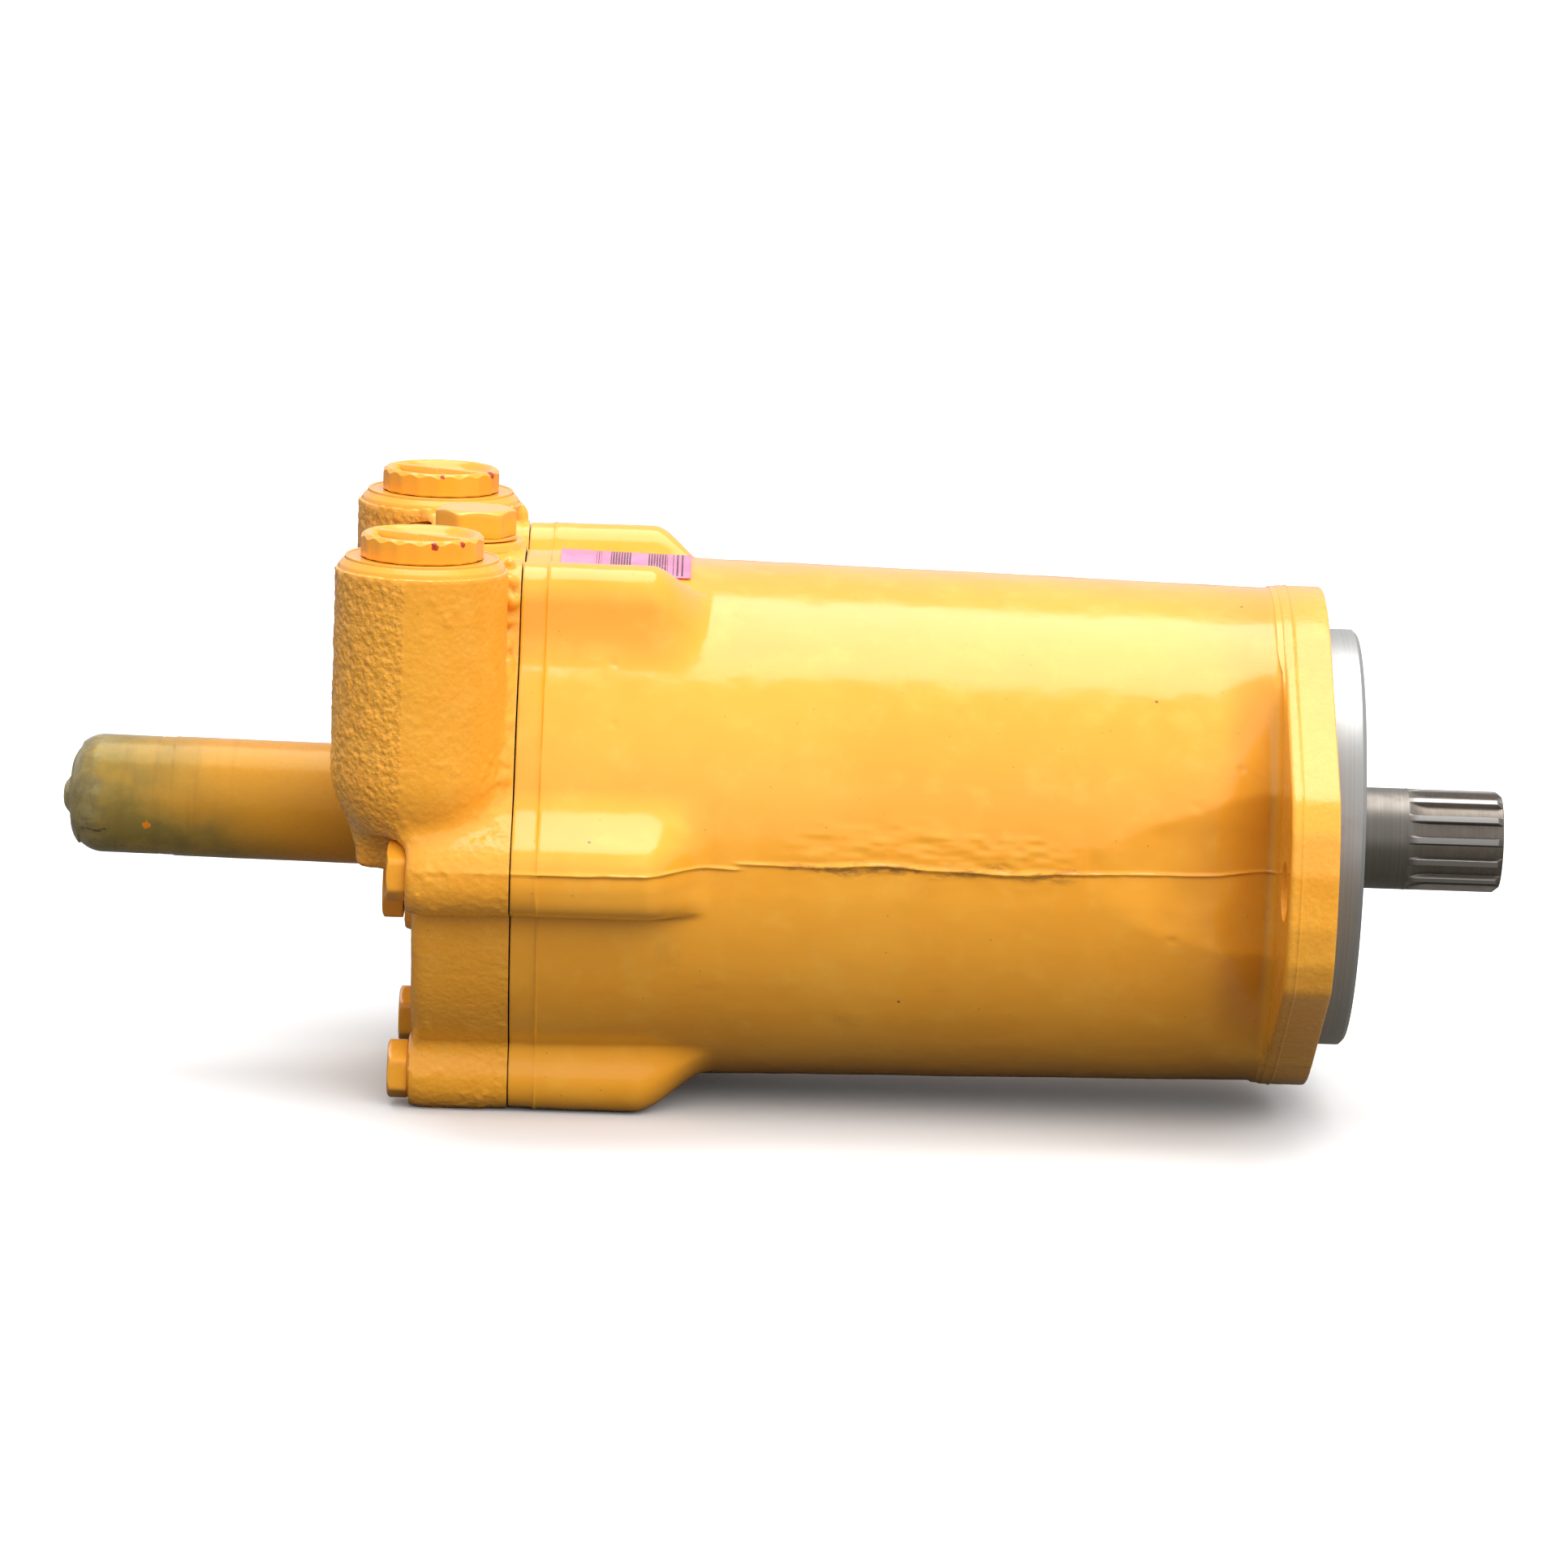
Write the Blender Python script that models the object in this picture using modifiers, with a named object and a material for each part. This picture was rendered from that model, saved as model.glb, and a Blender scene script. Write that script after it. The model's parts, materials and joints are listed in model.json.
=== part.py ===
"""Fixed-displacement axial piston hydraulic motor with a two-bolt mounting flange,
splined output shaft, six-screw end cap, two top ports with transit plugs and a
valve tube on the end cap.

Axes: the shaft turns about X and leaves the flange towards +X (front); the ports
face +Z (top). The origin is on the shaft axis, in the outer end face of the splined
shaft. Lengths are in millimetres. X is measured from the front face of the mounting
flange, and everything is set back by SHAFT_END at the end."""

import math

import bmesh
import bpy
from mathutils import Matrix, Vector

MM = 0.001

# ---- driving dimensions ----------------------------------------------------------
PILOT_R, PILOT_H, PILOT_CHAMFER = 63.5, 11.2, 1.5
FLANGE_T, FLANGE_R = 15.0, 76.2
HOUSING_REAR = -242.0
BODY_R_REAR, BODY_R_FRONT = 79.6, 75.3
BORE_R = 66.0
CAP_FRONT, CAP_REAR, CAP_R = -242.3, -271.6, 80.6
SPIGOT_R, SPIGOT_X = 62.0, -222.3
SCREW_R, SCREW_HEAD_R, SCREW_HEAD_H = 5.0, 9.4, 6.6
SCREW_HOLE_R = SCREW_R + 0.4
PORT_X, PORT_Y, PORT_TOP = -271.1, 69.9, 87.6
KIDNEY_Y, KIDNEY_Z = 36.0, 20.0
CENTER_PLUG_AT = (-257.7, 0.0)  # x, y
REAR_PLUG_AT = (-36.0, -18.5)  # y, z
SHAFT_END = 57.6
CAM_ANGLE = math.radians(15.0)
CAM_FACE_X = -74.0
PISTONS, PITCH_R = 9, 40.0
BALL_OFFSET = 9.0  # from the cam face to the slipper balls, square to the face
BALL_X = CAM_FACE_X - BALL_OFFSET / math.cos(CAM_ANGLE)
PISTON_SETBACK = 10.0
PISTON_BALL_X = BALL_X - PITCH_R * math.tan(CAM_ANGLE) - PISTON_SETBACK
PIN_R, PIN_BORE_R = 3.0, 3.4
CAM_PIN_AT = (0.0, 52.0)  # y, z
VALVE_PIN_AT = (0.0, 50.0)  # y, z

# Cap screws: y, z, radius of the boss around the screw
SCREWS = (
    (-41.0, 71.8, 11.0), (41.0, 71.8, 11.0),
    (-83.0, -4.0, 12.3), (83.0, -4.0, 12.3),
    (-38.8, -73.4, 10.8), (38.8, -73.4, 10.8),
)

OVERRUN = 1.0  # how far a cutter runs past the face it opens
ON_AXIS = (0.0, 0.0)
SIDES = (-1, 1)
SHARP_ANGLE = math.radians(35)

for old in list(bpy.data.objects):
    bpy.data.objects.remove(old, do_unlink=True)
parts = bpy.data.collections.new("hydraulic_motor")
tools = bpy.data.collections.new("cutters")
for collection in (parts, tools):
    bpy.context.scene.collection.children.link(collection)
tools.hide_render = True


# ---- materials -------------------------------------------------------------------
def material(name, color, roughness, metallic=0.0):
    mat = bpy.data.materials.new(name)
    mat.use_nodes = True
    bsdf = next(n for n in mat.node_tree.nodes if n.type == "BSDF_PRINCIPLED")
    bsdf.inputs["Base Color"].default_value = (*color, 1.0)
    bsdf.inputs["Roughness"].default_value = roughness
    bsdf.inputs["Metallic"].default_value = metallic
    mat.diffuse_color = (*color, 1.0)
    return mat


def paint(name):
    return material(name, color=(0.86, 0.44, 0.035), roughness=0.3)


def steel(name):
    return material(name, color=(0.42, 0.41, 0.40), roughness=0.35, metallic=1.0)


def bronze(name):
    return material(name, color=(0.55, 0.33, 0.12), roughness=0.35, metallic=1.0)


def rubber(name):
    return material(name, color=(0.02, 0.02, 0.02), roughness=0.6)


def label_film(name):
    return material(name, color=(0.85, 0.30, 0.52), roughness=0.5)


# ---- solids: a shape given no material is a hidden boolean helper -------------------
def link(name, data, mat):
    obj = bpy.data.objects.new(name, data)
    if mat is None:
        tools.objects.link(obj)
        obj.hide_render = True
        obj.display_type = "WIRE"
    else:
        parts.objects.link(obj)
        data.materials.append(mat)
    return obj


def link_bmesh(name, bm, mat):
    mesh = bpy.data.meshes.new(name)
    bm.to_mesh(mesh)
    bm.free()
    return link(name, mesh, mat)


def twice_area(points):
    """Twice the signed area inside a closed outline."""
    pairs = zip(points, points[1:] + points[:1])
    return sum(a[0] * b[1] - b[0] * a[1] for a, b in pairs)


def turned(name, profile, segments, mat=None, closed=False):
    """A solid turned about its own X axis from (x, radius) points."""
    points = list(profile)
    if twice_area(points) < 0:
        points.reverse()
    edges = [(i, i + 1) for i in range(len(points) - 1)]
    if closed:
        edges.append((len(points) - 1, 0))
    mesh = bpy.data.meshes.new(name)
    mesh.from_pydata([(x * MM, 0.0, r * MM) for x, r in points], edges, [])
    obj = link(name, mesh, mat)
    screw = obj.modifiers.new("Screw", "SCREW")
    screw.axis = "X"
    screw.steps = screw.render_steps = segments
    screw.use_merge_vertices = True
    screw.merge_threshold = 0.00001
    return obj


def sleeve(name, x0, x1, inner, outer, segments, mat=None):
    """A plain cylinder with a straight bore, about the X axis."""
    section = [(x0, inner), (x0, outer), (x1, outer), (x1, inner)]
    return turned(name, section, segments, mat, closed=True)


def ring(name, x, radius, wire_r, segments, mat):
    """A ring of round section about the X axis."""
    return turned(name, circle(wire_r, 5, x, radius), segments, mat, closed=True)


def place(obj, x, y, z):
    obj.location = (x * MM, y * MM, z * MM)


def stand_up(obj, x, y):
    """Turn an object's X axis up to +Z and place it at x, y."""
    obj.rotation_euler = (0, -math.pi / 2, 0)
    place(obj, x, y, 0)


def prism(name, outlines, x0, x1, mat=None):
    """A straight solid between two X planes from (y, z) outlines; later ones are holes."""
    curve = bpy.data.curves.new(name, "CURVE")
    curve.dimensions = "2D"
    curve.fill_mode = "BOTH"
    curve.extrude = abs(x1 - x0) * MM / 2
    for outline in outlines:
        spline = curve.splines.new("POLY")
        spline.points.add(len(outline) - 1)
        for point, (y, z) in zip(spline.points, outline):
            point.co = (y * MM, z * MM, 0.0, 1.0)
        spline.use_cyclic_u = True
    raw = bpy.data.objects.new(name + "_outline", curve)
    tools.objects.link(raw)
    graph = bpy.context.evaluated_depsgraph_get()
    mesh = bpy.data.meshes.new_from_object(raw.evaluated_get(graph))
    bpy.data.objects.remove(raw, do_unlink=True)
    bm = bmesh.new()
    bm.from_mesh(mesh)
    bmesh.ops.remove_doubles(bm, verts=bm.verts, dist=1e-6)
    # The curve lies in its XY plane: its X becomes Y, its Y becomes Z, its Z becomes X.
    cycle = Matrix(((0, 0, 1, 0), (1, 0, 0, 0), (0, 1, 0, 0), (0, 0, 0, 1)))
    shift = Matrix.Translation(((x0 + x1) / 2 * MM, 0, 0))
    bmesh.ops.transform(bm, matrix=shift @ cycle, verts=bm.verts)
    bmesh.ops.recalc_face_normals(bm, faces=bm.faces)
    bm.to_mesh(mesh)
    bm.free()
    mesh.name = name
    return link(name, mesh, mat)


def rod(name, radius, axis, span, at, segments, mat=None, end_radius=None):
    """A round bar along one axis; `at` holds its other two coordinates, in XYZ order."""
    ends = []
    for along in span:
        point = list(at)
        point.insert("XYZ".index(axis), along)
        ends.append(Vector(point) * MM)
    start, end = ends
    bm = bmesh.new()
    bmesh.ops.create_cone(
        bm, cap_ends=True, segments=segments, radius1=radius * MM,
        radius2=(radius if end_radius is None else end_radius) * MM,
        depth=(end - start).length,
    )
    turn = (end - start).to_track_quat("Z", "Y").to_matrix().to_4x4()
    middle = Matrix.Translation((start + end) / 2)
    bmesh.ops.transform(bm, matrix=middle @ turn, verts=bm.verts)
    return link_bmesh(name, bm, mat)


def box(name, low, high, turn=Matrix.Identity(4)):
    """A block helper between two corners, turned about its own middle."""
    bm = bmesh.new()
    bmesh.ops.create_cube(bm, size=1.0)
    scale = Matrix.Diagonal((*[(h - l) * MM for l, h in zip(low, high)], 1.0))
    middle = Matrix.Translation([(h + l) / 2 * MM for l, h in zip(low, high)])
    bmesh.ops.transform(bm, matrix=middle @ turn @ scale, verts=bm.verts)
    return link_bmesh(name, bm, None)


def spring(name, x0, x1, radius, wire_r, turns, steps, mat):
    """A helical wire about the X axis, with `steps` points per turn."""
    curve = bpy.data.curves.new(name, "CURVE")
    curve.dimensions = "3D"
    curve.bevel_depth = wire_r * MM
    curve.bevel_resolution = 0
    curve.use_fill_caps = True
    last = int(turns * steps)
    spline = curve.splines.new("POLY")
    spline.points.add(last)
    for i, point in enumerate(spline.points):
        t = 2 * math.pi * turns * i / last
        x = x0 + (x1 - x0) * i / last
        point.co = (x * MM, radius * math.cos(t) * MM, radius * math.sin(t) * MM, 1.0)
    return link(name, curve, mat)


def boolean(obj, others, operation):
    for other in others:
        modifier = obj.modifiers.new(operation.title(), "BOOLEAN")
        modifier.operation = operation
        modifier.solver = "EXACT"
        modifier.object = other


def cut(obj, *others):
    boolean(obj, others, "DIFFERENCE")


def unite(obj, *others):
    boolean(obj, others, "UNION")


# ---- outlines --------------------------------------------------------------------
def circle(radius, count, y=0.0, z=0.0):
    angles = [2 * math.pi * i / count for i in range(count)]
    return [(y + radius * math.cos(t), z + radius * math.sin(t)) for t in angles]


def arc(x, y, radius, start, end, steps):
    """Points of an arc, angles in degrees from the first axis towards the second."""
    angles = [math.radians(start + (end - start) * i / steps) for i in range(steps + 1)]
    return [(x + radius * math.cos(t), y + radius * math.sin(t)) for t in angles]


def lobed(base, bosses, count):
    """The (y, z) outline of a disc with round bosses given as (y, z, radius)."""
    outline = []
    for i in range(count):
        t = 2 * math.pi * i / count
        reach = base
        for y, z, boss_r in bosses:
            distance, angle = math.hypot(y, z), math.atan2(z, y)
            side = distance * math.sin(t - angle)
            if abs(side) < boss_r and math.cos(t - angle) > 0:
                edge = distance * math.cos(t - angle) + math.sqrt(boss_r * boss_r - side * side)
                reach = max(reach, edge)
        outline.append((reach * math.cos(t), reach * math.sin(t)))
    return outline


# ---- housing ---------------------------------------------------------------------
EAR_HOLE_Y, EAR_HOLE_R = 90.5, 8.75
POCKET_Y, POCKET_HALF, POCKET_TILT = 92.6, 20.0, 6.0
BOSS_FRONT, SCREW_BORE_FRONT = -196.0, -210.0

# x, radius
HOUSING_PROFILE = [
    (HOUSING_REAR, BORE_R), (HOUSING_REAR, BODY_R_REAR),
    (-FLANGE_T - 3.0, BODY_R_FRONT), (-FLANGE_T, FLANGE_R), (0.0, FLANGE_R),
    (0.0, PILOT_R), (PILOT_H - PILOT_CHAMFER, PILOT_R), (PILOT_H, PILOT_R - PILOT_CHAMFER),
    (PILOT_H, 26.3), (9.2, 26.3), (9.2, 28.0), (7.0, 28.0), (7.0, 26.3),
    (-2.0, 26.3), (-2.0, 24.0), (-8.0, 24.0), (-8.0, 36.3), (-33.0, 36.3), (-33.0, BORE_R),
]
# y, z of half the flange outline; the other half is this one turned by 180 degrees
EAR_HALF_OUTLINE = [
    (98.0, 29.0), (103.6, 20.0), (106.4, 8.0), (106.4, -8.0), (103.6, -20.0),
    (98.0, -29.0), (43.0, -63.3), (30.0, -68.0), (-30.0, -68.0), (-43.0, -63.3),
]

housing = turned("motor_housing", HOUSING_PROFILE, 40, paint("housing_paint"), closed=True)
flange = prism(
    "flange_ears",
    [
        EAR_HALF_OUTLINE + [(-y, -z) for y, z in EAR_HALF_OUTLINE],
        circle(40.0, 24),
        circle(EAR_HOLE_R, 16, EAR_HOLE_Y),
        circle(EAR_HOLE_R, 16, -EAR_HOLE_Y),
    ],
    -FLANGE_T + 0.1, 0.0,
)
# Flats beside the body, behind the ears
for i, side in enumerate(SIDES):
    y = side * POCKET_Y
    cut(housing, box(
        "pocket_%d" % i, (-75.0, y - POCKET_HALF, -40.0), (-FLANGE_T, y + POCKET_HALF, 40.0),
        turn=Matrix.Rotation(math.radians(-side * POCKET_TILT), 4, "Z"),
    ))
for i, (y, z, boss_r) in enumerate(SCREWS, 1):
    span = (HOUSING_REAR, BOSS_FRONT)
    unite(housing, rod("housing_boss_%d" % i, boss_r, "X", span, (y, z), 20))
unite(housing, flange)
for i, (y, z, _) in enumerate(SCREWS, 1):
    span = (HOUSING_REAR - OVERRUN, SCREW_BORE_FRONT)
    cut(housing, rod("screw_bore_%d" % i, SCREW_HOLE_R, "X", span, (y, z), 12))
cut(housing, rod("housing_pin_bore", PIN_BORE_R, "X", (-34.0, -25.0), CAM_PIN_AT, 10))

# ---- end cap ---------------------------------------------------------------------
PORT_BOSS_R, PORT_FACE_R, PORT_BALL_Z = 25.5, 22.6, 28.8
WEB_Y = 62.0
GALLERY_X, GALLERY_R, GALLERY_Y = -270.6, 8.6, 35.0
HEAD_POCKET_R = SCREW_HEAD_R + 0.5
INTO_SPIGOT = SPIGOT_X + OVERRUN

# z, radius
PORT_BOSS_PROFILE = (
    [(PORT_BALL_Z - PORT_BOSS_R, 0.0)]
    + arc(PORT_BALL_Z, 0.0, PORT_BOSS_R, 157, 90, 3)
    + [(83.6, PORT_BOSS_R - 0.4), (86.2, PORT_FACE_R + 0.8)]
    + [(PORT_TOP, PORT_FACE_R), (PORT_TOP, 0.0)]
)
# The tables of rods: name, radius, axis, (start, end), at, segments
CAP_HUBS = (
    ("tube_hub", 27.0, "X", (-296.0, -266.0), ON_AXIS, 24),
    ("plug_hub", 15.6, "Z", (60.0, 83.3), CENTER_PLUG_AT, 24),
    ("rear_plug_boss", 11.6, "X", (-274.6, -266.0), REAR_PLUG_AT, 18),
)
CAP_BORES = (
    ("tube_bore", 15.2, "X", (-297.0, -276.0), ON_AXIS, 20),
    ("sense_hole", 4.0, "X", (-277.0, -261.0), ON_AXIS, 12),
    ("bearing_bore", 22.3, "X", (-262.0, INTO_SPIGOT), ON_AXIS, 28),
    ("plug_bore", 9.4, "Z", (58.0, 84.0), CENTER_PLUG_AT, 18),
    ("plug_seat", 11.4, "Z", (80.6, 84.0), CENTER_PLUG_AT, 18),
    ("rear_plug_bore", 6.4, "X", (-276.0, -256.0), REAR_PLUG_AT, 14),
    ("rear_plug_seat", 8.2, "X", (-276.0, -272.4), REAR_PLUG_AT, 14),
    ("dowel_bore", PIN_BORE_R, "X", (-230.0, INTO_SPIGOT), VALVE_PIN_AT, 10),
)


def port_bores(i, side):
    """One port's bores: down from the top, inwards, then forwards to the valve plate."""
    y = side * PORT_Y
    top, gallery = (PORT_X, y), (GALLERY_X, KIDNEY_Z)
    rows = (
        ("port_bore", 16.2, "Z", (62.0, 89.0), top, 18),
        ("port_seat", 18.8, "Z", (84.0, 89.0), top, 18),
        ("port_drop", 10.5, "Z", (19.0, 63.0), top, 12),
        ("gallery", GALLERY_R, "Y", (y, side * GALLERY_Y), gallery, 10),
        ("kidney", 7.6, "X", (-271.5, INTO_SPIGOT), (side * KIDNEY_Y, KIDNEY_Z), 12),
    )
    return [rod("%s_%d" % (name, i), *row) for name, *row in rows]


cap = prism("end_cap", [lobed(CAP_R, SCREWS, 84)], CAP_REAR, CAP_FRONT, paint("end_cap_paint"))
unite(cap, rod("spigot", SPIGOT_R, "X", (-250.0, SPIGOT_X), ON_AXIS, 32))
for i, side in enumerate(SIDES):
    boss = turned("port_boss_%d" % i, PORT_BOSS_PROFILE, 24)
    stand_up(boss, PORT_X, side * PORT_Y)
    web_y = sorted((0, side * WEB_Y))
    web = box("gallery_web_%d" % i, (-288.0, web_y[0], -6.0), (-268.0, web_y[1], 44.0))
    unite(cap, boss, web)
unite(cap, *[rod(*row) for row in CAP_HUBS])
for i, side in enumerate(SIDES):
    cut(cap, *port_bores(i, side))
for i, (y, z, _) in enumerate(SCREWS, 1):
    span = (-290.0, CAP_FRONT + OVERRUN)
    cut(cap, rod("cap_hole_%d" % i, SCREW_HOLE_R, "X", span, (y, z), 12))
    if z > 0:
        # The top screw heads need room beside the port bosses.
        span = (-300.0, CAP_REAR)
        cut(cap, rod("head_pocket_%d" % i, HEAD_POCKET_R, "X", span, (y, z), 24))
cut(cap, *[rod(*row) for row in CAP_BORES])
cut(cap, sleeve("o_ring_groove", -241.4, -237.6, inner=61.0, outer=63.0, segments=32))

ring("end_cap_o_ring", -239.5, 63.9, 1.5, 32, rubber("end_cap_seal_rubber"))

# ---- cap screws ------------------------------------------------------------------
HEAD_SEAT_X = CAP_REAR - 0.3
SHANK_FRONT = -212.0
for i, (y, z, _) in enumerate(SCREWS, 1):
    screw = rod(
        "cap_screw_%d" % i, SCREW_HEAD_R, "X", (HEAD_SEAT_X - SCREW_HEAD_H, HEAD_SEAT_X),
        (y, z), 6, paint("cap_screw_paint_%d" % i),
    )
    span = (HEAD_SEAT_X - OVERRUN, SHANK_FRONT)
    unite(screw, rod("cap_screw_shank_%d" % i, SCREW_R, "X", span, (y, z), 12))

# ---- port plugs: round, dished, with a rib across the top --------------------------
PLUG_R, PLUG_TOP = 18.5, PORT_TOP + 7.2
PLUG_SHANK_R, PLUG_CORE_R = 15.5, 12.0
RIB_HALF_LENGTH, RIB_HALF_WIDTH, RIB_ANGLE = 15.5, 1.3, -28


def port_plug(label, y):
    at = (PORT_X, y)
    span = (PORT_TOP + 0.3, PLUG_TOP)
    plug = rod(label + "_port_plug", PLUG_R, "Z", span, at, 18, paint(label + "_plug_paint"))
    span = (PORT_TOP + 5.4, PORT_TOP + 9.0)
    cut(plug, rod(label + "_plug_dish", 14.5, "Z", span, at, 18, end_radius=17.0))
    rib = box(
        label + "_plug_rib",
        (PORT_X - RIB_HALF_LENGTH, y - RIB_HALF_WIDTH, PORT_TOP + 4.0),
        (PORT_X + RIB_HALF_LENGTH, y + RIB_HALF_WIDTH, PLUG_TOP),
        turn=Matrix.Rotation(math.radians(RIB_ANGLE), 4, "Z"),
    )
    span = (68.0, PORT_TOP + 1.5)
    unite(plug, rib, rod(label + "_plug_shank", PLUG_SHANK_R, "Z", span, at, 20))
    cut(plug, rod(label + "_plug_core", PLUG_CORE_R, "Z", (66.0, 86.0), at, 16))
    o_ring = ring(label + "_port_o_ring", 86.0, 17.15, 1.25, 18, rubber(label + "_o_ring_rubber"))
    stand_up(o_ring, *at)


port_plug("near", -PORT_Y)
port_plug("far", PORT_Y)

# ---- hexagon plugs on the top and the rear face -------------------------------------
CENTER_HEX_TURN = math.radians(7)
center = rod(
    "center_hex_plug", 12.8, "Z", (84.0, 92.7), CENTER_PLUG_AT, 6, paint("center_plug_paint")
)
to_plug = Matrix.Translation((CENTER_PLUG_AT[0] * MM, 0, 0))
center.data.transform(to_plug @ Matrix.Rotation(CENTER_HEX_TURN, 4, "Z") @ to_plug.inverted())
unite(
    center,
    rod("center_plug_flange", 12.6, "Z", (83.6, 85.0), CENTER_PLUG_AT, 24),
    rod("center_plug_shank", 8.9, "Z", (66.0, 84.6), CENTER_PLUG_AT, 16),
)
center_o_ring = ring("center_plug_o_ring", 82.1, 10.15, 0.95, 16, rubber("center_o_ring_rubber"))
stand_up(center_o_ring, *CENTER_PLUG_AT)

rear = rod(
    "rear_hex_plug", 9.4, "X", (-281.6, -274.9), REAR_PLUG_AT, 6, paint("rear_plug_paint")
)
unite(rear, rod("rear_plug_shank", 6.0, "X", (-276.0, -262.0), REAR_PLUG_AT, 12))
rear_o_ring = ring("rear_plug_o_ring", -273.6, 7.1, 0.8, 12, rubber("rear_o_ring_rubber"))
place(rear_o_ring, 0, *REAR_PLUG_AT)

# ---- valve tube and what it holds --------------------------------------------------
TUBE_R, TUBE_BORE_R, TUBE_TIP = 18.2, 12.0, -381.0

# x, radius
TUBE_PROFILE = (
    [(-372.0, 0.0), (-372.0, TUBE_BORE_R), (-282.0, TUBE_BORE_R), (-282.0, 14.7)]
    + [(-296.3, 14.7), (-296.3, TUBE_R), (-347.0, TUBE_R), (-348.0, 17.8)]
    + arc(-368.5, 7.8, 10.0, 90, 180, 4)
    + [(-378.5, 5.0), (TUBE_TIP + 0.6, 5.0), (TUBE_TIP, 4.4), (TUBE_TIP, 0.0)]
)
SPOOL_PROFILE = [
    (-292.0, 0.0), (-292.0, 4.5), (-297.0, 5.4), (-300.0, 11.5), (-318.0, 11.5), (-318.0, 8.0),
    (-326.0, 8.0), (-326.0, 11.5), (-338.0, 11.5), (-338.0, 5.0), (-354.0, 5.0), (-354.0, 0.0),
]
turned("valve_tube", TUBE_PROFILE, 22, paint("valve_tube_paint"))
sleeve("valve_seat", -284.0, -289.0, 6.0, 11.6, 20, steel("valve_seat_steel"))
turned("valve_spool", SPOOL_PROFILE, 14, steel("valve_spool_steel"))
spring(
    "valve_spring", -370.0, -340.2, radius=7.6, wire_r=1.1, turns=5.5, steps=10,
    mat=steel("valve_spring_steel"),
)

# ---- label: a film bent around the top of the housing -------------------------------
LABEL_X0, LABEL_X1, LABEL_R, LABEL_T = -231.4, -192.1, 79.9, 0.3
LABEL_MID, LABEL_HALF = math.radians(-3.75), math.radians(13.75)  # from +Z towards +Y

bm = bmesh.new()
bmesh.ops.create_grid(bm, x_segments=1, y_segments=7, size=0.5)
for vert in bm.verts:
    x = LABEL_X0 + (vert.co.x + 0.5) * (LABEL_X1 - LABEL_X0)
    angle = LABEL_MID + vert.co.y * 2 * LABEL_HALF
    vert.co = Vector((x, LABEL_R * math.sin(angle), LABEL_R * math.cos(angle))) * MM
bmesh.ops.recalc_face_normals(bm, faces=bm.faces)
label = link_bmesh("data_label", bm, label_film("label_film"))
thicken = label.modifiers.new("Solidify", "SOLIDIFY")
thicken.thickness = LABEL_T * MM
thicken.offset = 1.0

# ---- drive shaft -----------------------------------------------------------------
SHAFT_R, SPLINE_R, SPLINE_ROOT = 15.2, 15.6, 14.1
SPLINE_TEETH, SPLINE_START = 14, 31.0

# x, radius
SHAFT_PROFILE = [
    (-262.0, 0.0), (-262.0, 11.9), (-261.4, 12.5), (-223.0, 12.5), (-223.0, 17.0),
    (-36.0, 17.0), (-36.0, 17.5), (-6.0, 17.5), (-6.0, SHAFT_R), (27.7, SHAFT_R),
    (28.4, SPLINE_R), (SHAFT_END - 2.0, SPLINE_R), (SHAFT_END, SPLINE_R - 1.6), (SHAFT_END, 0.0),
]
# Section of the gap between two teeth: sideways from its middle, height above the root
SPLINE_GAP = ((-2.55, 2.0), (2.55, 2.0), (1.75, 0.0), (-1.75, 0.0))

shaft = turned("drive_shaft", SHAFT_PROFILE, 28, steel("drive_shaft_steel"))
for i in range(SPLINE_TEETH):
    angle = 2 * math.pi * (i + 0.5) / SPLINE_TEETH
    cos, sin = math.cos(angle), math.sin(angle)
    outline = [
        ((SPLINE_ROOT + h) * cos - w * sin, (SPLINE_ROOT + h) * sin + w * cos)
        for w, h in SPLINE_GAP
    ]
    cut(shaft, prism("spline_gap_%d" % i, [outline], SPLINE_START, SHAFT_END + OVERRUN))

# ---- cylinder block and pistons ----------------------------------------------------
BLOCK_FRONT, BLOCK_REAR, BLOCK_R, BLOCK_CHAMFER = -104.0, -214.0, 54.0, 2.0
BLOCK_BORE_R, SPRING_SEAT_R, SPRING_SEAT_X = 17.3, 24.0, -162.0
PISTON_ANGLES = [2 * math.pi * i / PISTONS for i in range(PISTONS)]
PISTON_YZ = [(PITCH_R * math.sin(a), PITCH_R * math.cos(a)) for a in PISTON_ANGLES]

# x, radius
BLOCK_PROFILE = [
    (BLOCK_REAR, BLOCK_BORE_R), (BLOCK_REAR, BLOCK_R - BLOCK_CHAMFER),
    (BLOCK_REAR + BLOCK_CHAMFER, BLOCK_R), (BLOCK_FRONT - BLOCK_CHAMFER, BLOCK_R),
    (BLOCK_FRONT, BLOCK_R - BLOCK_CHAMFER), (BLOCK_FRONT, SPRING_SEAT_R),
    (SPRING_SEAT_X, SPRING_SEAT_R), (SPRING_SEAT_X, BLOCK_BORE_R),
]
# x from the ball centre, radius
PISTON_PROFILE = (
    [(-31.0, 0.0), (-31.0, 6.0), (-71.0, 6.0), (-71.0, 9.9), (-9.2, 9.9), (-7.8, 4.2), (-5.4, 3.2)]
    + arc(0.0, 0.0, 6.0, 146, 38, 3) + [(6.0, 0.0)]
)

block = turned("cylinder_block", BLOCK_PROFILE, 36, steel("cylinder_block_iron"), closed=True)
for i, at in enumerate(PISTON_YZ, 1):
    cut(
        block,
        rod("bore_%d" % i, 10.3, "X", (-192.0, BLOCK_FRONT + OVERRUN), at, 14),
        rod("block_port_%d" % i, 4.5, "X", (BLOCK_REAR - OVERRUN, -191.0), at, 8),
    )
    piston = turned("piston_%d" % i, PISTON_PROFILE, 12, steel("piston_steel_%d" % i))
    place(piston, PISTON_BALL_X, *at)

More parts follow.
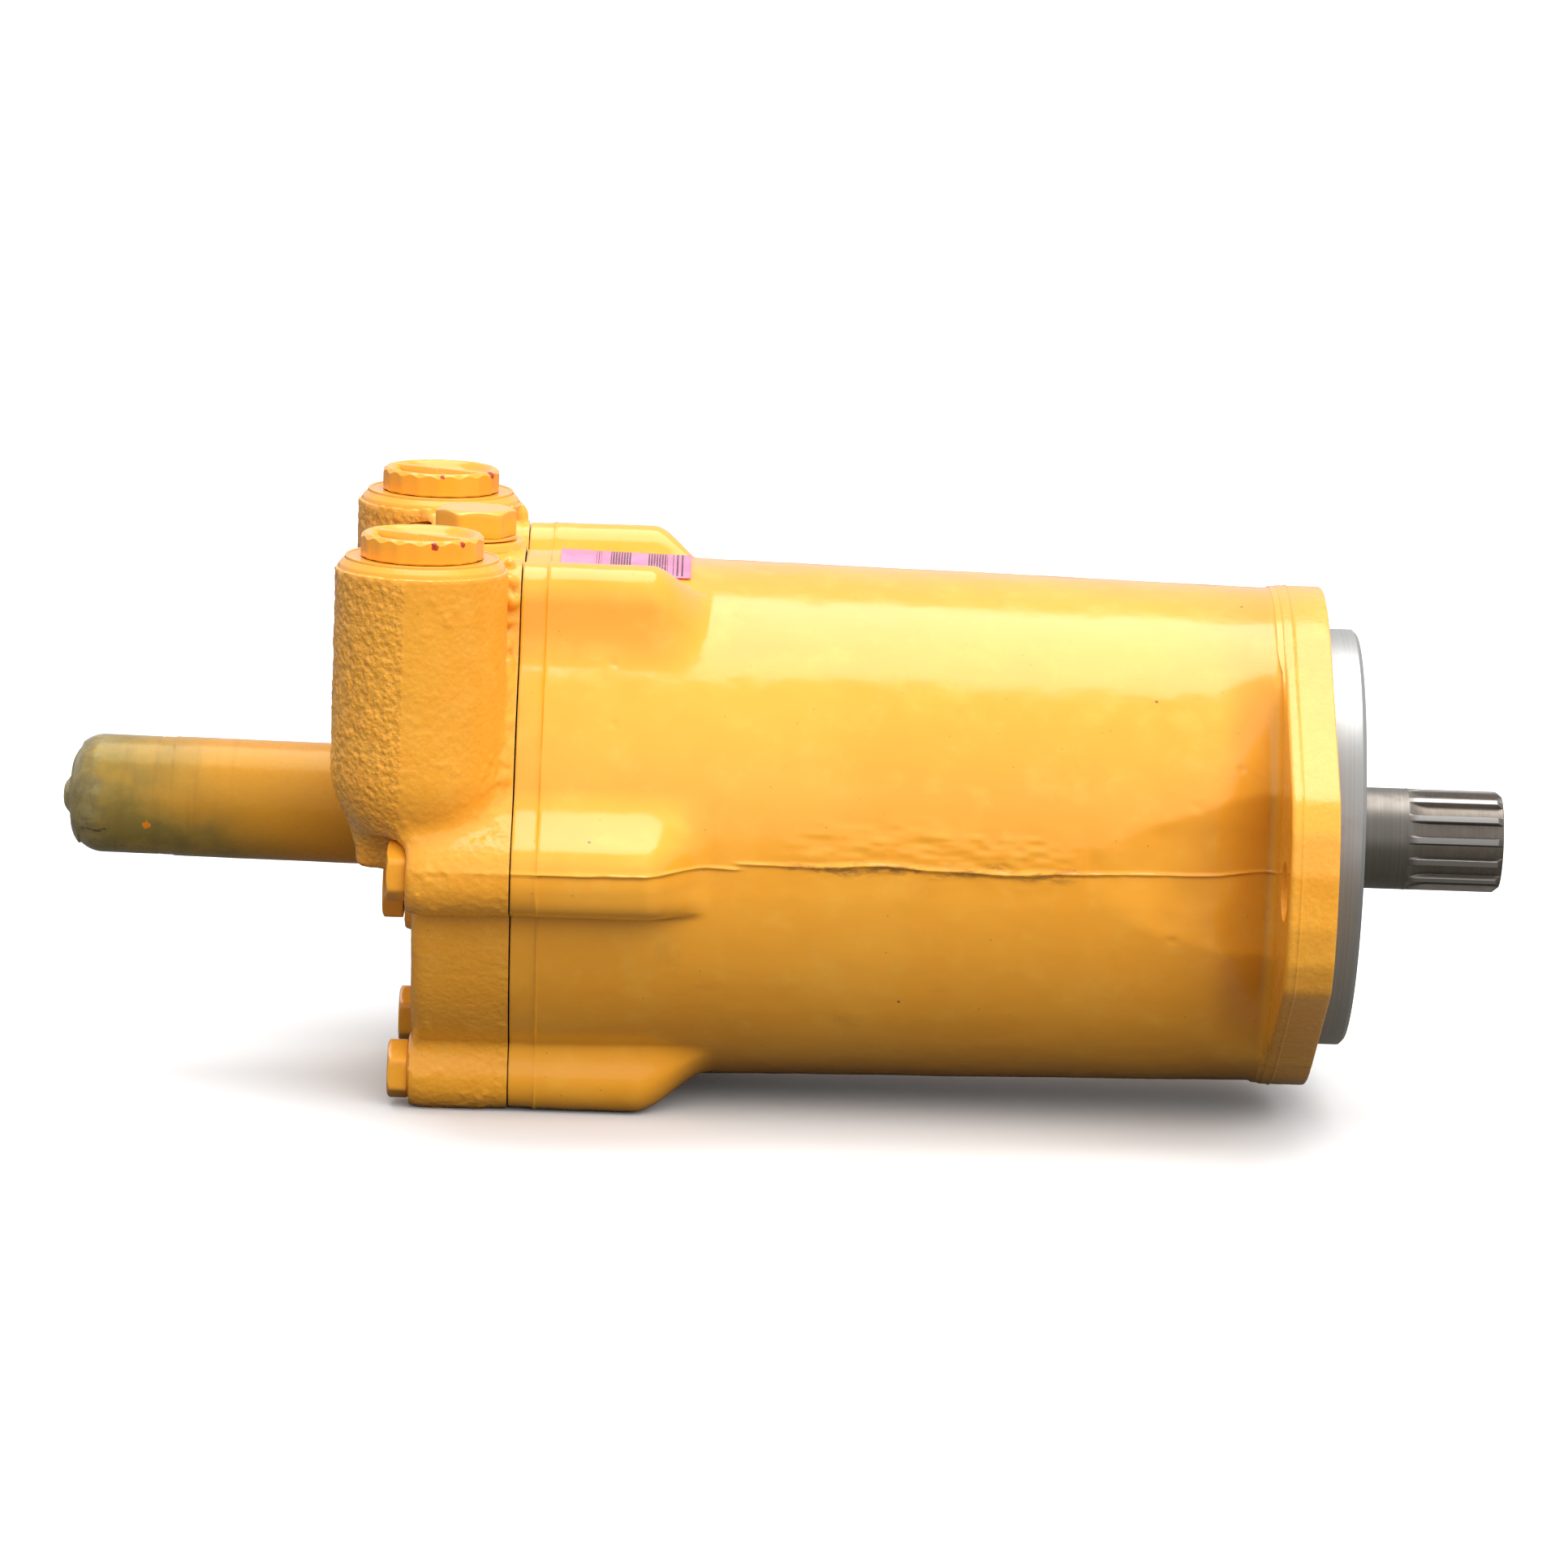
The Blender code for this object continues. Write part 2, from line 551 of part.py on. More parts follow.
# ---- block spring and ball guide ---------------------------------------------------
sleeve("block_spring_washer", -161.6, -159.8, 17.5, 23.6, 24, steel("spring_washer_steel"))
spring(
    "block_spring", -157.6, -113.0, radius=20.6, wire_r=1.7, turns=4.5, steps=14,
    mat=steel("block_spring_steel"),
)
GUIDE_PROFILE = (
    [(-110.5, 17.4), (-110.5, 23.0), (BALL_X - 6.9, 23.0)]
    + arc(BALL_X, 0.0, 24.0, 100, 75.5, 2) + [(BALL_X + 6.0, 17.4)]
)
turned("ball_guide", GUIDE_PROFILE, 24, steel("ball_guide_steel"), closed=True)

# ---- slippers and retainer, on the inclined cam face --------------------------------
tilt = bpy.data.objects.new("cam_axis", None)
parts.objects.link(tilt)
place(tilt, BALL_X, 0, 0)
tilt.rotation_euler = (0, CAM_ANGLE, 0)

# x from the cam face, radius
SLIPPER_PROFILE = (
    [(-0.3, 0.0), (-0.3, 11.4), (-3.2, 11.4), (-3.2, 8.3), (-BALL_OFFSET, 8.3)]
    + [(-BALL_OFFSET, 6.6)] + arc(-BALL_OFFSET, 0.0, 6.6, 60, 0, 2)
)
slipper_yz = [(y, z / math.cos(CAM_ANGLE)) for y, z in PISTON_YZ]
for i, at in enumerate(slipper_yz, 1):
    slipper = turned("slipper_%d" % i, SLIPPER_PROFILE, 12, bronze("slipper_bronze_%d" % i))
    slipper.parent = tilt
    place(slipper, BALL_OFFSET, *at)
retainer = prism(
    "slipper_retainer",
    [circle(52.0, 32), circle(24.7, 24)] + [circle(9.0, 12, y, z) for y, z in slipper_yz],
    -7.4, -3.6, steel("retainer_steel"),
)
retainer.parent = tilt
place(retainer, BALL_OFFSET, 0, 0)

# ---- cam plate -------------------------------------------------------------------
cam = sleeve("cam_plate", CAM_FACE_X - 20.0, -33.5, 26.0, 62.0, 36, steel("cam_plate_steel"))
incline = box("cam_incline", (-60.0, -80.0, -90.0), (0.0, 80.0, 90.0))
place(incline, CAM_FACE_X, 0, 0)
incline.rotation_euler = (0, CAM_ANGLE, 0)
cut(cam, incline, rod("cam_pin_bore", PIN_BORE_R, "X", (-44.0, -32.0), CAM_PIN_AT, 10))
rod("cam_plate_pin", PIN_R, "X", (-43.0, -26.0), CAM_PIN_AT, 10, steel("cam_pin_steel"))

# ---- valve plate -----------------------------------------------------------------
prism(
    "valve_plate",
    [circle(56.0, 32), circle(18.2, 20)]
    + [circle(7.4, 12, y, KIDNEY_Z) for y in (KIDNEY_Y, -KIDNEY_Y)]
    + [circle(PIN_BORE_R, 10, *VALVE_PIN_AT)],
    -222.0, -214.3, steel("valve_plate_steel"),
)
rod("valve_plate_pin", PIN_R, "X", (-229.0, -215.0), VALVE_PIN_AT, 10, steel("valve_pin_steel"))

# ---- bearings --------------------------------------------------------------------
ROLLERS, ROLLER_STEPS = 12, 6
# name, x0, x1, inner radius, outer radius, segments
RACES = (
    ("front_bearing_outer_race", -28.0, -8.4, 32.1, 36.0, 36),
    ("front_bearing_inner_race", -28.0, -8.6, 17.9, 21.9, 32),
    ("rear_bearing_outer_race", -258.0, -238.0, 18.6, 22.0, 28),
)


def roller_ring(name, pitch_r, roller_r, x0, x1, cage_half, mat):
    """The rollers of one bearing, joined by a thin cage into a single ring."""
    outer, inner = [], []
    count = ROLLERS * ROLLER_STEPS
    for i in range(count):
        t = 2 * math.pi * i / count
        part = (t * ROLLERS / (2 * math.pi)) % 1.0
        off_roller = min(part, 1.0 - part) * 2 * math.pi / ROLLERS
        side = pitch_r * math.sin(off_roller)
        half = max(math.sqrt(max(roller_r * roller_r - side * side, 0.0)), cage_half)
        outer.append(((pitch_r + half) * math.cos(t), (pitch_r + half) * math.sin(t)))
        inner.append(((pitch_r - half) * math.cos(t), (pitch_r - half) * math.sin(t)))
    return prism(name, [outer, inner], x0, x1, mat)


for name, *sizes in RACES:
    sleeve(name, *sizes, steel(name.replace("bearing_", "") + "_steel"))
roller_ring("front_bearing_rollers", 27.0, 4.6, -26.0, -10.5, 1.6, steel("front_roller_steel"))
roller_ring("rear_bearing_rollers", 15.6, 2.5, -256.0, -240.0, 0.9, steel("rear_roller_steel"))

# ---- shaft seal and its retaining ring ----------------------------------------------
SEAL_PROFILE = [
    (6.3, 16.6), (6.3, 26.0), (-1.7, 26.0), (-1.7, 23.4),
    (4.2, 23.4), (4.2, 18.2), (0.0, 15.7), (2.4, 15.7),
]
turned("shaft_seal", SEAL_PROFILE, 28, rubber("shaft_seal_rubber"), closed=True)
clip = arc(0, 0, 27.6, 18, 342, 18) + arc(0, 0, 23.6, 342, 18, 18)
prism("seal_retaining_ring", [clip], 7.3, 8.9, steel("retaining_ring_steel"))

# ---- shading, and the shift that puts the origin at the shaft end --------------------
for obj in parts.objects:
    if obj.type == "MESH":
        for face in obj.data.polygons:
            face.use_smooth = True
        obj.data.set_sharp_from_angle(angle=SHARP_ANGLE)
for obj in list(parts.objects) + list(tools.objects):
    if obj.parent is None:
        obj.location.x -= SHAFT_END * MM
bpy.context.view_layer.update()
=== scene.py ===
import math

import bmesh
import bpy
import numpy as np
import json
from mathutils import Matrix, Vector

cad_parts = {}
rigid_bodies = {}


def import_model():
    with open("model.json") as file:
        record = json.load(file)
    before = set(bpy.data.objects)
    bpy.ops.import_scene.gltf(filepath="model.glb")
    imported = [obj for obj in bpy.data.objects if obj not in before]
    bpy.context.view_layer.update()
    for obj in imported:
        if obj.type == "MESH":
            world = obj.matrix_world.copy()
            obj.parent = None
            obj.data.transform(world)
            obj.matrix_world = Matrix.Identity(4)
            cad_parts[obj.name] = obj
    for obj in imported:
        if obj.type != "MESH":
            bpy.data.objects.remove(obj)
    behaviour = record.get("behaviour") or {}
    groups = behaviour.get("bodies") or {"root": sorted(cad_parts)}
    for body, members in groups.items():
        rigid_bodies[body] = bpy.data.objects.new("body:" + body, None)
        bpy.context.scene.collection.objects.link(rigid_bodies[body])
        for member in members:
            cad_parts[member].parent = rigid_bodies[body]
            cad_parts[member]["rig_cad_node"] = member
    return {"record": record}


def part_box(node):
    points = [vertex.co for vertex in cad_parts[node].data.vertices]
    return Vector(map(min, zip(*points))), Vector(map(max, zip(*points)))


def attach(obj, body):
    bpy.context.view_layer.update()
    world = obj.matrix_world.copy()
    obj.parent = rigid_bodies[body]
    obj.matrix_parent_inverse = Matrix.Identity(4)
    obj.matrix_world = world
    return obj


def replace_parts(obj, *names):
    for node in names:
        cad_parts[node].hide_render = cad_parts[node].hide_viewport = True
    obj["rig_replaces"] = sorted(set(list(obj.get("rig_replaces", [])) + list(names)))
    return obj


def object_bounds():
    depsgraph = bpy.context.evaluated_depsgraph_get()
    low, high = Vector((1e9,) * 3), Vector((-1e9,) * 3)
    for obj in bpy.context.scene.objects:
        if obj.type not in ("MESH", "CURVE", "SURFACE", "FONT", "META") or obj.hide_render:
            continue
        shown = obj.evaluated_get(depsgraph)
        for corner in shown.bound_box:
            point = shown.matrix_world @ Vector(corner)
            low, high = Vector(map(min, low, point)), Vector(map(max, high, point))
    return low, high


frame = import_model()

import openvdb
from mathutils import Matrix, Vector

cad_bounds = [[float(c) for c in p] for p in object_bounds()]

MM = 0.001
# The lengths below are millimetres from the front face of the mounting flange, which the
# record's mounting flange mount places in the row frame.
FLANGE = next(m for m in frame["record"]["mounts"] if m["name"] == "mounting_flange_face")
FX = float(FLANGE["point"][0]) if "point" in FLANGE else float(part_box("drive_shaft")[1][0]) - 57.6 * MM
PI = math.pi


# ---- noise ---------------------------------------------------------------------------
def vnoise(p, seed=0):
    """Smooth value noise in -1..1 for an (n, 3) array, one lattice cell per unit."""
    p = np.asarray(p, np.float64)
    i = np.floor(p).astype(np.int64)
    f = p - i
    f = f * f * f * (f * (f * 6 - 15) + 10)
    out = np.zeros(len(p))
    for dx in (0, 1):
        for dy in (0, 1):
            for dz in (0, 1):
                h = ((i[:, 0] + dx) * 374761393 + (i[:, 1] + dy) * 668265263 + (i[:, 2] + dz) * 1440662683 + seed * 362437) & 0xFFFFFFFF
                h = ((h ^ (h >> 13)) * 1274126177) & 0xFFFFFFFF
                h = ((h ^ (h >> 16)) * 668265263) & 0xFFFFFFFF
                v = ((h >> 8) & 0xFFFF) / 32767.5 - 1.0
                w = (f[:, 0] if dx else 1 - f[:, 0]) * (f[:, 1] if dy else 1 - f[:, 1]) * (f[:, 2] if dz else 1 - f[:, 2])
                out += v * w
    return out


def fbm(p, octaves=3, seed=0):
    total, amp, norm = 0.0, 1.0, 0.0
    for k in range(octaves):
        total = total + amp * vnoise(np.asarray(p) * (2.03 ** k) + 17.3 * k, seed + k)
        norm += amp
        amp *= 0.5
    return total / norm


def smin(a, b, k):
    h = np.clip(0.5 + 0.5 * (b - a) / k, 0, 1)
    return b * (1 - h) + a * h - k * h * (1 - h)


def smax(a, b, k):
    return -smin(-a, -b, k)


def sstep(a, b, x):
    t = np.clip((x - a) / (b - a), 0, 1)
    return t * t * (3 - 2 * t)


# ---- materials -----------------------------------------------------------------------
class Graph:
    def __init__(self, name):
        self.mat = bpy.data.materials.new(name)
        self.mat.use_nodes = True
        self.nt = self.mat.node_tree
        self.nt.nodes.clear()
        self.out = self.nt.nodes.new("ShaderNodeOutputMaterial")
        self.bsdf = self.nt.nodes.new("ShaderNodeBsdfPrincipled")
        self.nt.links.new(self.bsdf.outputs[0], self.out.inputs[0])
        self.coord = self.nt.nodes.new("ShaderNodeTexCoord").outputs["Object"]
        geo = self.nt.nodes.new("ShaderNodeNewGeometry")
        self.point = geo.outputs["Pointiness"]
        self._xyz = None

    def put(self, socket, value):
        if isinstance(value, bpy.types.NodeSocket):
            self.nt.links.new(value, socket)
        elif isinstance(value, tuple) and len(value) == 3 and socket.type == "RGBA":
            socket.default_value = (*value, 1.0)
        else:
            socket.default_value = value

    def math(self, op, a, b=0.0, c=None, clamp=False):
        n = self.nt.nodes.new("ShaderNodeMath")
        n.operation = op
        n.use_clamp = clamp
        self.put(n.inputs[0], a)
        self.put(n.inputs[1], b)
        if c is not None:
            self.put(n.inputs[2], c)
        return n.outputs[0]

    def ramp(self, value, lo, hi, out_lo=0.0, out_hi=1.0):
        n = self.nt.nodes.new("ShaderNodeMapRange")
        n.interpolation_type = "SMOOTHSTEP"
        for i, v in enumerate((value, lo, hi, out_lo, out_hi)):
            self.put(n.inputs[i], v)
        return n.outputs[0]

    def xyz(self):
        if self._xyz is None:
            n = self.nt.nodes.new("ShaderNodeSeparateXYZ")
            self.put(n.inputs[0], self.coord)
            self._xyz = (n.outputs[0], n.outputs[1], n.outputs[2])
        return self._xyz

    def vec(self, x, y, z):
        n = self.nt.nodes.new("ShaderNodeCombineXYZ")
        for i, v in enumerate((x, y, z)):
            self.put(n.inputs[i], v)
        return n.outputs[0]

    def scaled(self, sx, sy, sz):
        n = self.nt.nodes.new("ShaderNodeVectorMath")
        n.operation = "MULTIPLY"
        self.put(n.inputs[0], self.coord)
        n.inputs[1].default_value = (sx, sy, sz)
        return n.outputs[0]

    def noise(self, scale, detail=3.0, rough=0.5, vector=None, distort=0.0):
        n = self.nt.nodes.new("ShaderNodeTexNoise")
        self.put(n.inputs["Vector"], vector if vector is not None else self.coord)
        n.inputs["Scale"].default_value = scale
        n.inputs["Detail"].default_value = detail
        n.inputs["Roughness"].default_value = rough
        n.inputs["Distortion"].default_value = distort
        return n.outputs[0]

    def voronoi(self, scale, vector=None, feature="F1"):
        n = self.nt.nodes.new("ShaderNodeTexVoronoi")
        n.feature = feature
        self.put(n.inputs["Vector"], vector if vector is not None else self.coord)
        n.inputs["Scale"].default_value = scale
        return n.outputs["Distance"], n.outputs["Color"]

    def mix(self, fac, a, b):
        n = self.nt.nodes.new("ShaderNodeMix")
        n.data_type = "RGBA"
        self.put(n.inputs[0], fac)
        self.put(n.inputs[6], a)
        self.put(n.inputs[7], b)
        return n.outputs[2]

    def bump(self, height, strength, distance, normal=None):
        n = self.nt.nodes.new("ShaderNodeBump")
        n.inputs["Strength"].default_value = strength
        n.inputs["Distance"].default_value = distance
        self.put(n.inputs["Height"], height)
        if normal is not None:
            self.put(n.inputs["Normal"], normal)
        return n.outputs[0]

    def set(self, **values):
        for k, v in values.items():
            self.put(self.bsdf.inputs[k.replace("_", " ")], v)
        return self.mat


def specks(g, scale, size, share, seed=0.0):
    """A mask of small scattered spots."""
    d, c = g.voronoi(scale, g.vec(*[g.math("ADD", v, 0.37 + seed * 0.11) for v in g.xyz()]))
    sep = g.nt.nodes.new("ShaderNodeSeparateColor")
    g.put(sep.inputs[0], c)
    spot = g.ramp(d, size, size * 0.55)
    pick = g.ramp(sep.outputs[0], 1.0 - share, 1.0 - share + 0.01)
    return g.math("MULTIPLY", spot, pick)


PAINT = (0.93, 0.405, 0.034)
PAINT_DEEP = (0.90, 0.365, 0.024)
PAINT_PALE = (0.96, 0.475, 0.062)
GRIME_AND_SHADE = (0.17, 0.080, 0.018)


def paint_mat(name, cast=0.0, gloss=0.22, grime_and_crease_shade=0.5, flash=False, chips=(), fade=False, pebble=None):
    g = Graph(name)
    x, y, z = g.xyz()
    big = g.noise(18.0, 3.0, 0.55)
    mid = g.noise(95.0, 4.0, 0.6)
    fine = g.noise(620.0, 3.0, 0.55)
    col = g.mix(g.ramp(big, 0.35, 0.68), PAINT_DEEP, PAINT)
    col = g.mix(g.math("MULTIPLY", g.ramp(mid, 0.48, 0.78), 0.45), col, PAINT_PALE)
    # paint lies thinner and paler on outside edges; inside corners and creases are darkened, partly dirt and partly
    # painted shade
    edge = g.ramp(g.point, 0.515, 0.60)
    crease = g.ramp(g.point, 0.487, 0.425)
    col = g.mix(g.math("MULTIPLY", edge, 0.35), col, PAINT_PALE)
    crease_dirt_and_shade = g.math("MULTIPLY", crease, g.math("MULTIPLY", g.ramp(mid, 0.30, 0.62, 0.35, 1.0), grime_and_crease_shade), clamp=True)
    col = g.mix(crease_dirt_and_shade, col, GRIME_AND_SHADE)
    smear = g.noise(34.0, 5.0, 0.62, g.scaled(1.0, 1.6, 1.6), 0.6)
    col = g.mix(g.math("MULTIPLY", g.ramp(smear, 0.60, 0.80), 0.16 * grime_and_crease_shade + 0.05), col, GRIME_AND_SHADE)
    spots = specks(g, 150.0, 0.10, 0.045)
    col = g.mix(g.math("MULTIPLY", spots, 0.75), col, (0.07, 0.04, 0.02))
    tiny = specks(g, 420.0, 0.16, 0.06, 3.0)
    col = g.mix(g.math("MULTIPLY", tiny, 0.5), col, (0.30, 0.15, 0.03))
    rough = g.math("ADD", gloss, g.math("MULTIPLY", g.ramp(mid, 0.35, 0.75), 0.10))
    rough = g.math("ADD", rough, g.math("MULTIPLY", crease_dirt_and_shade, 0.35), clamp=True)
    # flash turns on painted shade along the parting line and in the bolt pockets by the flange
    if flash:
        # a dark band along the mould parting line on the two sides: painted shade under the raised ridge, with some
        # dirt
        near_z = g.ramp(g.math("ABSOLUTE", g.math("ADD", z, g.math("MULTIPLY", g.math("SUBTRACT", g.noise(60.0, 2.0), 0.5), 0.006))), 0.0030, 0.0002)
        band = g.math("MULTIPLY", g.ramp(x, FX - 0.170, FX - 0.150), g.ramp(x, FX - 0.062, FX - 0.085))
        streak = g.ramp(g.noise(300.0, 4.0, 0.7, g.scaled(0.35, 1.0, 1.0)), 0.44, 0.60)
        mask = g.math("MULTIPLY", g.math("MULTIPLY", near_z, band), streak)
        col = g.mix(g.math("MULTIPLY", mask, 0.62), col, (0.13, 0.06, 0.015))
        # painted shade: the recessed bolt pockets next to the flange, under the ears, are coloured darker
        rad2 = g.math("SQRT", g.math("ADD", g.math("MULTIPLY", y, y), g.math("MULTIPLY", z, z)))
        pocket_painted_shade = g.math("MULTIPLY", g.ramp(x, FX - 0.058, FX - 0.022), g.math("MULTIPLY", g.ramp(rad2, 0.0772, 0.0735), g.ramp(x, FX - 0.0150, FX - 0.0185)))
        col = g.mix(g.math("MULTIPLY", pocket_painted_shade, 0.42), col, (0.34, 0.135, 0.016))
    if fade:
        # the tube's paint is thin and greenish grey at the closed end
        col = g.mix(0.72, col, (0.50, 0.225, 0.020))
        shift = g.math("ADD", x, g.math("MULTIPLY", g.math("SUBTRACT", g.noise(34.0, 4.0, 0.6), 0.5), 0.050))
        under = g.ramp(z, 0.006, -0.014, 0.0, 0.026)
        t = g.ramp(g.math("SUBTRACT", shift, under), FX - 0.318, FX - 0.372)
        olive = g.mix(g.ramp(g.noise(70.0, 4.0, 0.6), 0.40, 0.62), (0.27, 0.185, 0.040), (0.155, 0.135, 0.040))
        blue = g.ramp(g.math("ADD", x, g.math("MULTIPLY", g.math("SUBTRACT", g.noise(60.0, 4.0, 0.65), 0.5), 0.045)), FX - 0.362, FX - 0.377)
        olive = g.mix(blue, olive, g.mix(g.ramp(g.noise(180.0, 4.0, 0.6), 0.4, 0.6), (0.115, 0.125, 0.075), (0.235, 0.215, 0.105)))
        col = g.mix(g.math("MULTIPLY", t, 0.86), col, olive)
        ringm = g.noise(1.0, 2.0, 0.5, g.vec(g.math("MULTIPLY", x, 260.0), g.math("MULTIPLY", y, 18.0), g.math("MULTIPLY", z, 18.0)))
        col = g.mix(g.math("MULTIPLY", g.ramp(ringm, 0.56, 0.72), g.ramp(x, FX - 0.318, FX - 0.335, 0.0, 0.18)), col, (0.16, 0.075, 0.02))
        scratch = g.ramp(g.noise(250.0, 5.0, 0.72, g.scaled(0.35, 1.2, 1.2), 1.4), 0.585, 0.655)
        low = g.ramp(z, 0.001, -0.010)
        col = g.mix(g.math("MULTIPLY", g.math("MULTIPLY", scratch, low), g.ramp(x, FX - 0.345, FX - 0.362, 0.05, 0.9)), col, (0.035, 0.03, 0.03))
    for (cx, cy, cz), r, tone in chips:
        d = g.nt.nodes.new("ShaderNodeVectorMath")
        d.operation = "DISTANCE"
        g.put(d.inputs[0], g.coord)
        d.inputs[1].default_value = (FX + cx * MM, cy * MM, cz * MM)
        wob = g.math("MULTIPLY", g.math("SUBTRACT", g.noise(700.0, 4.0, 0.7), 0.5), r * MM * 2.2)
        m = g.ramp(g.math("ADD", d.outputs["Value"], wob), r * MM, r * MM * 0.8)
        col = g.mix(m, col, tone)
    normal = g.bump(g.noise(210.0, 3.0, 0.5), 0.05, 0.0008)
    normal = g.bump(fine, 0.07, 0.00035, normal)
    if cast > 0:
        grains, _ = g.voronoi(620.0, feature="SMOOTH_F1")
        h = g.math("ADD", g.math("MULTIPLY", g.noise(520.0, 4.0, 0.62), 1.0), g.math("MULTIPLY", grains, -0.75))
        if pebble is not None:
            h = g.math("MULTIPLY", h, pebble(g))
        normal = g.bump(h, min(1.0, 1.0 * cast), 0.0012 * cast, normal)
        pits = g.ramp(g.math("ADD", g.noise(1150.0, 4.0, 0.70), g.math("MULTIPLY", grains, -0.35)), 0.36, 0.22)
        col = g.mix(g.math("MULTIPLY", g.math("MULTIPLY", pits, pebble(g)) if pebble is not None else pits, 0.40 * min(1.0, cast)), col, (0.40, 0.165, 0.020))
    if fade:
        g.bsdf.inputs["Specular Tint"].default_value = (1.0, 0.90, 0.36, 1.0)
    g.set(Base_Color=col, Roughness=rough, Normal=normal, Coat_Weight=0.08 if fade else 0.35, Coat_Roughness=0.12, Specular_IOR_Level=0.5)
    return g.mat


def metal_mat(name, base, rough=0.32, turned=True, stain=0.25, dark=(0.10, 0.09, 0.08), line=1700.0, axis_x=True, spots=True, worn=None):
    g = Graph(name)
    x, y, z = g.xyz()
    radius = g.math("SQRT", g.math("ADD", g.math("MULTIPLY", y, y), g.math("MULTIPLY", z, z)))
    if turned:
        lines = g.noise(line, 2.0, 0.5, g.vec(x, radius, 0.0))
        wide = g.noise(line * 0.16, 2.0, 0.5, g.vec(x, radius, 0.0))
    else:
        lines = g.noise(900.0, 3.0, 0.6, g.scaled(1.0, 1.0, 0.3))
        wide = g.noise(120.0, 3.0, 0.6)
    blot = g.noise(70.0, 5.0, 0.6)
    col = g.mix(g.ramp(lines, 0.3, 0.7), tuple(0.86 * c for c in base), base)
    col = g.mix(g.math("MULTIPLY", g.ramp(blot, 0.52, 0.78), stain), col, dark)
    if spots:
        col = g.mix(g.math("MULTIPLY", specks(g, 230.0, 0.12, 0.06), 0.8), col, (0.03, 0.025, 0.02))
    if worn is not None:
        # bright contact along the tooth lands, brown film on the floors between them
        teeth_on = g.ramp(x, worn[2] - 0.001, worn[2] + 0.002)
        land = g.math("MULTIPLY", g.ramp(radius, worn[0], worn[1]), teeth_on)
        floor_film = g.math("MULTIPLY", g.math("MULTIPLY", g.ramp(radius, worn[0], worn[0] - 0.0006), teeth_on), g.ramp(g.noise(420.0, 4.0, 0.7), 0.36, 0.60, 0.25, 0.85))
        col = g.mix(g.math("MULTIPLY", floor_film, 0.55), col, (0.20, 0.155, 0.115))
        col = g.mix(g.math("MULTIPLY", land, 0.75), col, (0.52, 0.50, 0.48))
    r = g.math("ADD", rough, g.math("MULTIPLY", g.math("SUBTRACT", wide, 0.5), 0.16))
    r = g.math("ADD", r, g.math("MULTIPLY", g.ramp(blot, 0.5, 0.8), 0.14), clamp=True)
    normal = g.bump(lines, 0.10, 0.00006)
    normal = g.bump(g.noise(260.0, 4.0, 0.6), 0.05, 0.0003, normal)
    g.set(Base_Color=col, Metallic=1.0, Roughness=r, Normal=normal)
    return g.mat


def rubber_mat(name):
    g = Graph(name)
    col = g.mix(g.ramp(g.noise(160.0, 4.0), 0.35, 0.7), (0.012, 0.012, 0.013), (0.045, 0.043, 0.042))
    g.set(Base_Color=col, Roughness=g.ramp(g.noise(240.0, 3.0), 0.3, 0.7, 0.42, 0.66), Normal=g.bump(g.noise(900.0, 3.0), 0.15, 0.0002))
    return g.mat


def iron_mat(name):
    g = Graph(name)
    col = g.mix(g.ramp(g.noise(120.0, 5.0, 0.6), 0.3, 0.7), (0.085, 0.075, 0.068), (0.20, 0.185, 0.17))
    g.set(Base_Color=col, Metallic=0.55, Roughness=g.ramp(g.noise(200.0, 3.0), 0.3, 0.7, 0.5, 0.72), Normal=g.bump(g.noise(500.0, 4.0, 0.65), 0.4, 0.0005))
    return g.mat


def label_mat(name, lo, hi):
    """A plain pink film with a generic dark block and bars on one end."""
    g = Graph(name)
    x, y, z = g.xyz()
    pink = g.mix(g.ramp(g.noise(60.0, 4.0, 0.6), 0.35, 0.7), (0.80, 0.20, 0.36), (0.86, 0.28, 0.44))
    u = g.ramp(x, lo, hi)
    n = g.nt.nodes.new("ShaderNodeMapRange")
    for i, v in enumerate((x, lo, hi, 0.0, 1.0)):
        g.put(n.inputs[i], v)
    u = n.outputs[0]
    ink = None
    for lo_u, hi_u, pitch, level in ((0.27, 0.31, 330.0, 0.3), (0.38, 0.54, 300.0, -0.62), (0.67, 0.82, 300.0, -0.5), (0.86, 0.96, 170.0, 0.25)):
        bars = g.math("GREATER_THAN", g.math("SINE", g.math("MULTIPLY", u, pitch)), level)
        bars = g.math("MULTIPLY", bars, g.math("MULTIPLY", g.math("GREATER_THAN", u, lo_u), g.math("LESS_THAN", u, hi_u)))
        ink = bars if ink is None else g.math("MAXIMUM", ink, bars)
    inside = g.math("LESS_THAN", g.math("ABSOLUTE", g.math("ADD", y, 0.0052)), 0.0150)
    ink = g.math("MULTIPLY", ink, inside)
    ink = g.math("MULTIPLY", ink, g.ramp(g.noise(800.0, 3.0), 0.3, 0.45, 0.55, 0.95))
    col = g.mix(ink, pink, (0.06, 0.03, 0.045))
    dust = g.ramp(g.noise(140.0, 5.0, 0.7), 0.58, 0.75)
    col = g.mix(g.math("MULTIPLY", dust, 0.35), col, (0.75, 0.52, 0.35))
    g.set(Base_Color=col, Roughness=g.ramp(dust, 0.0, 1.0, 0.36, 0.6), Normal=g.bump(g.noise(220.0, 3.0), 0.12, 0.0004))
    return g.mat


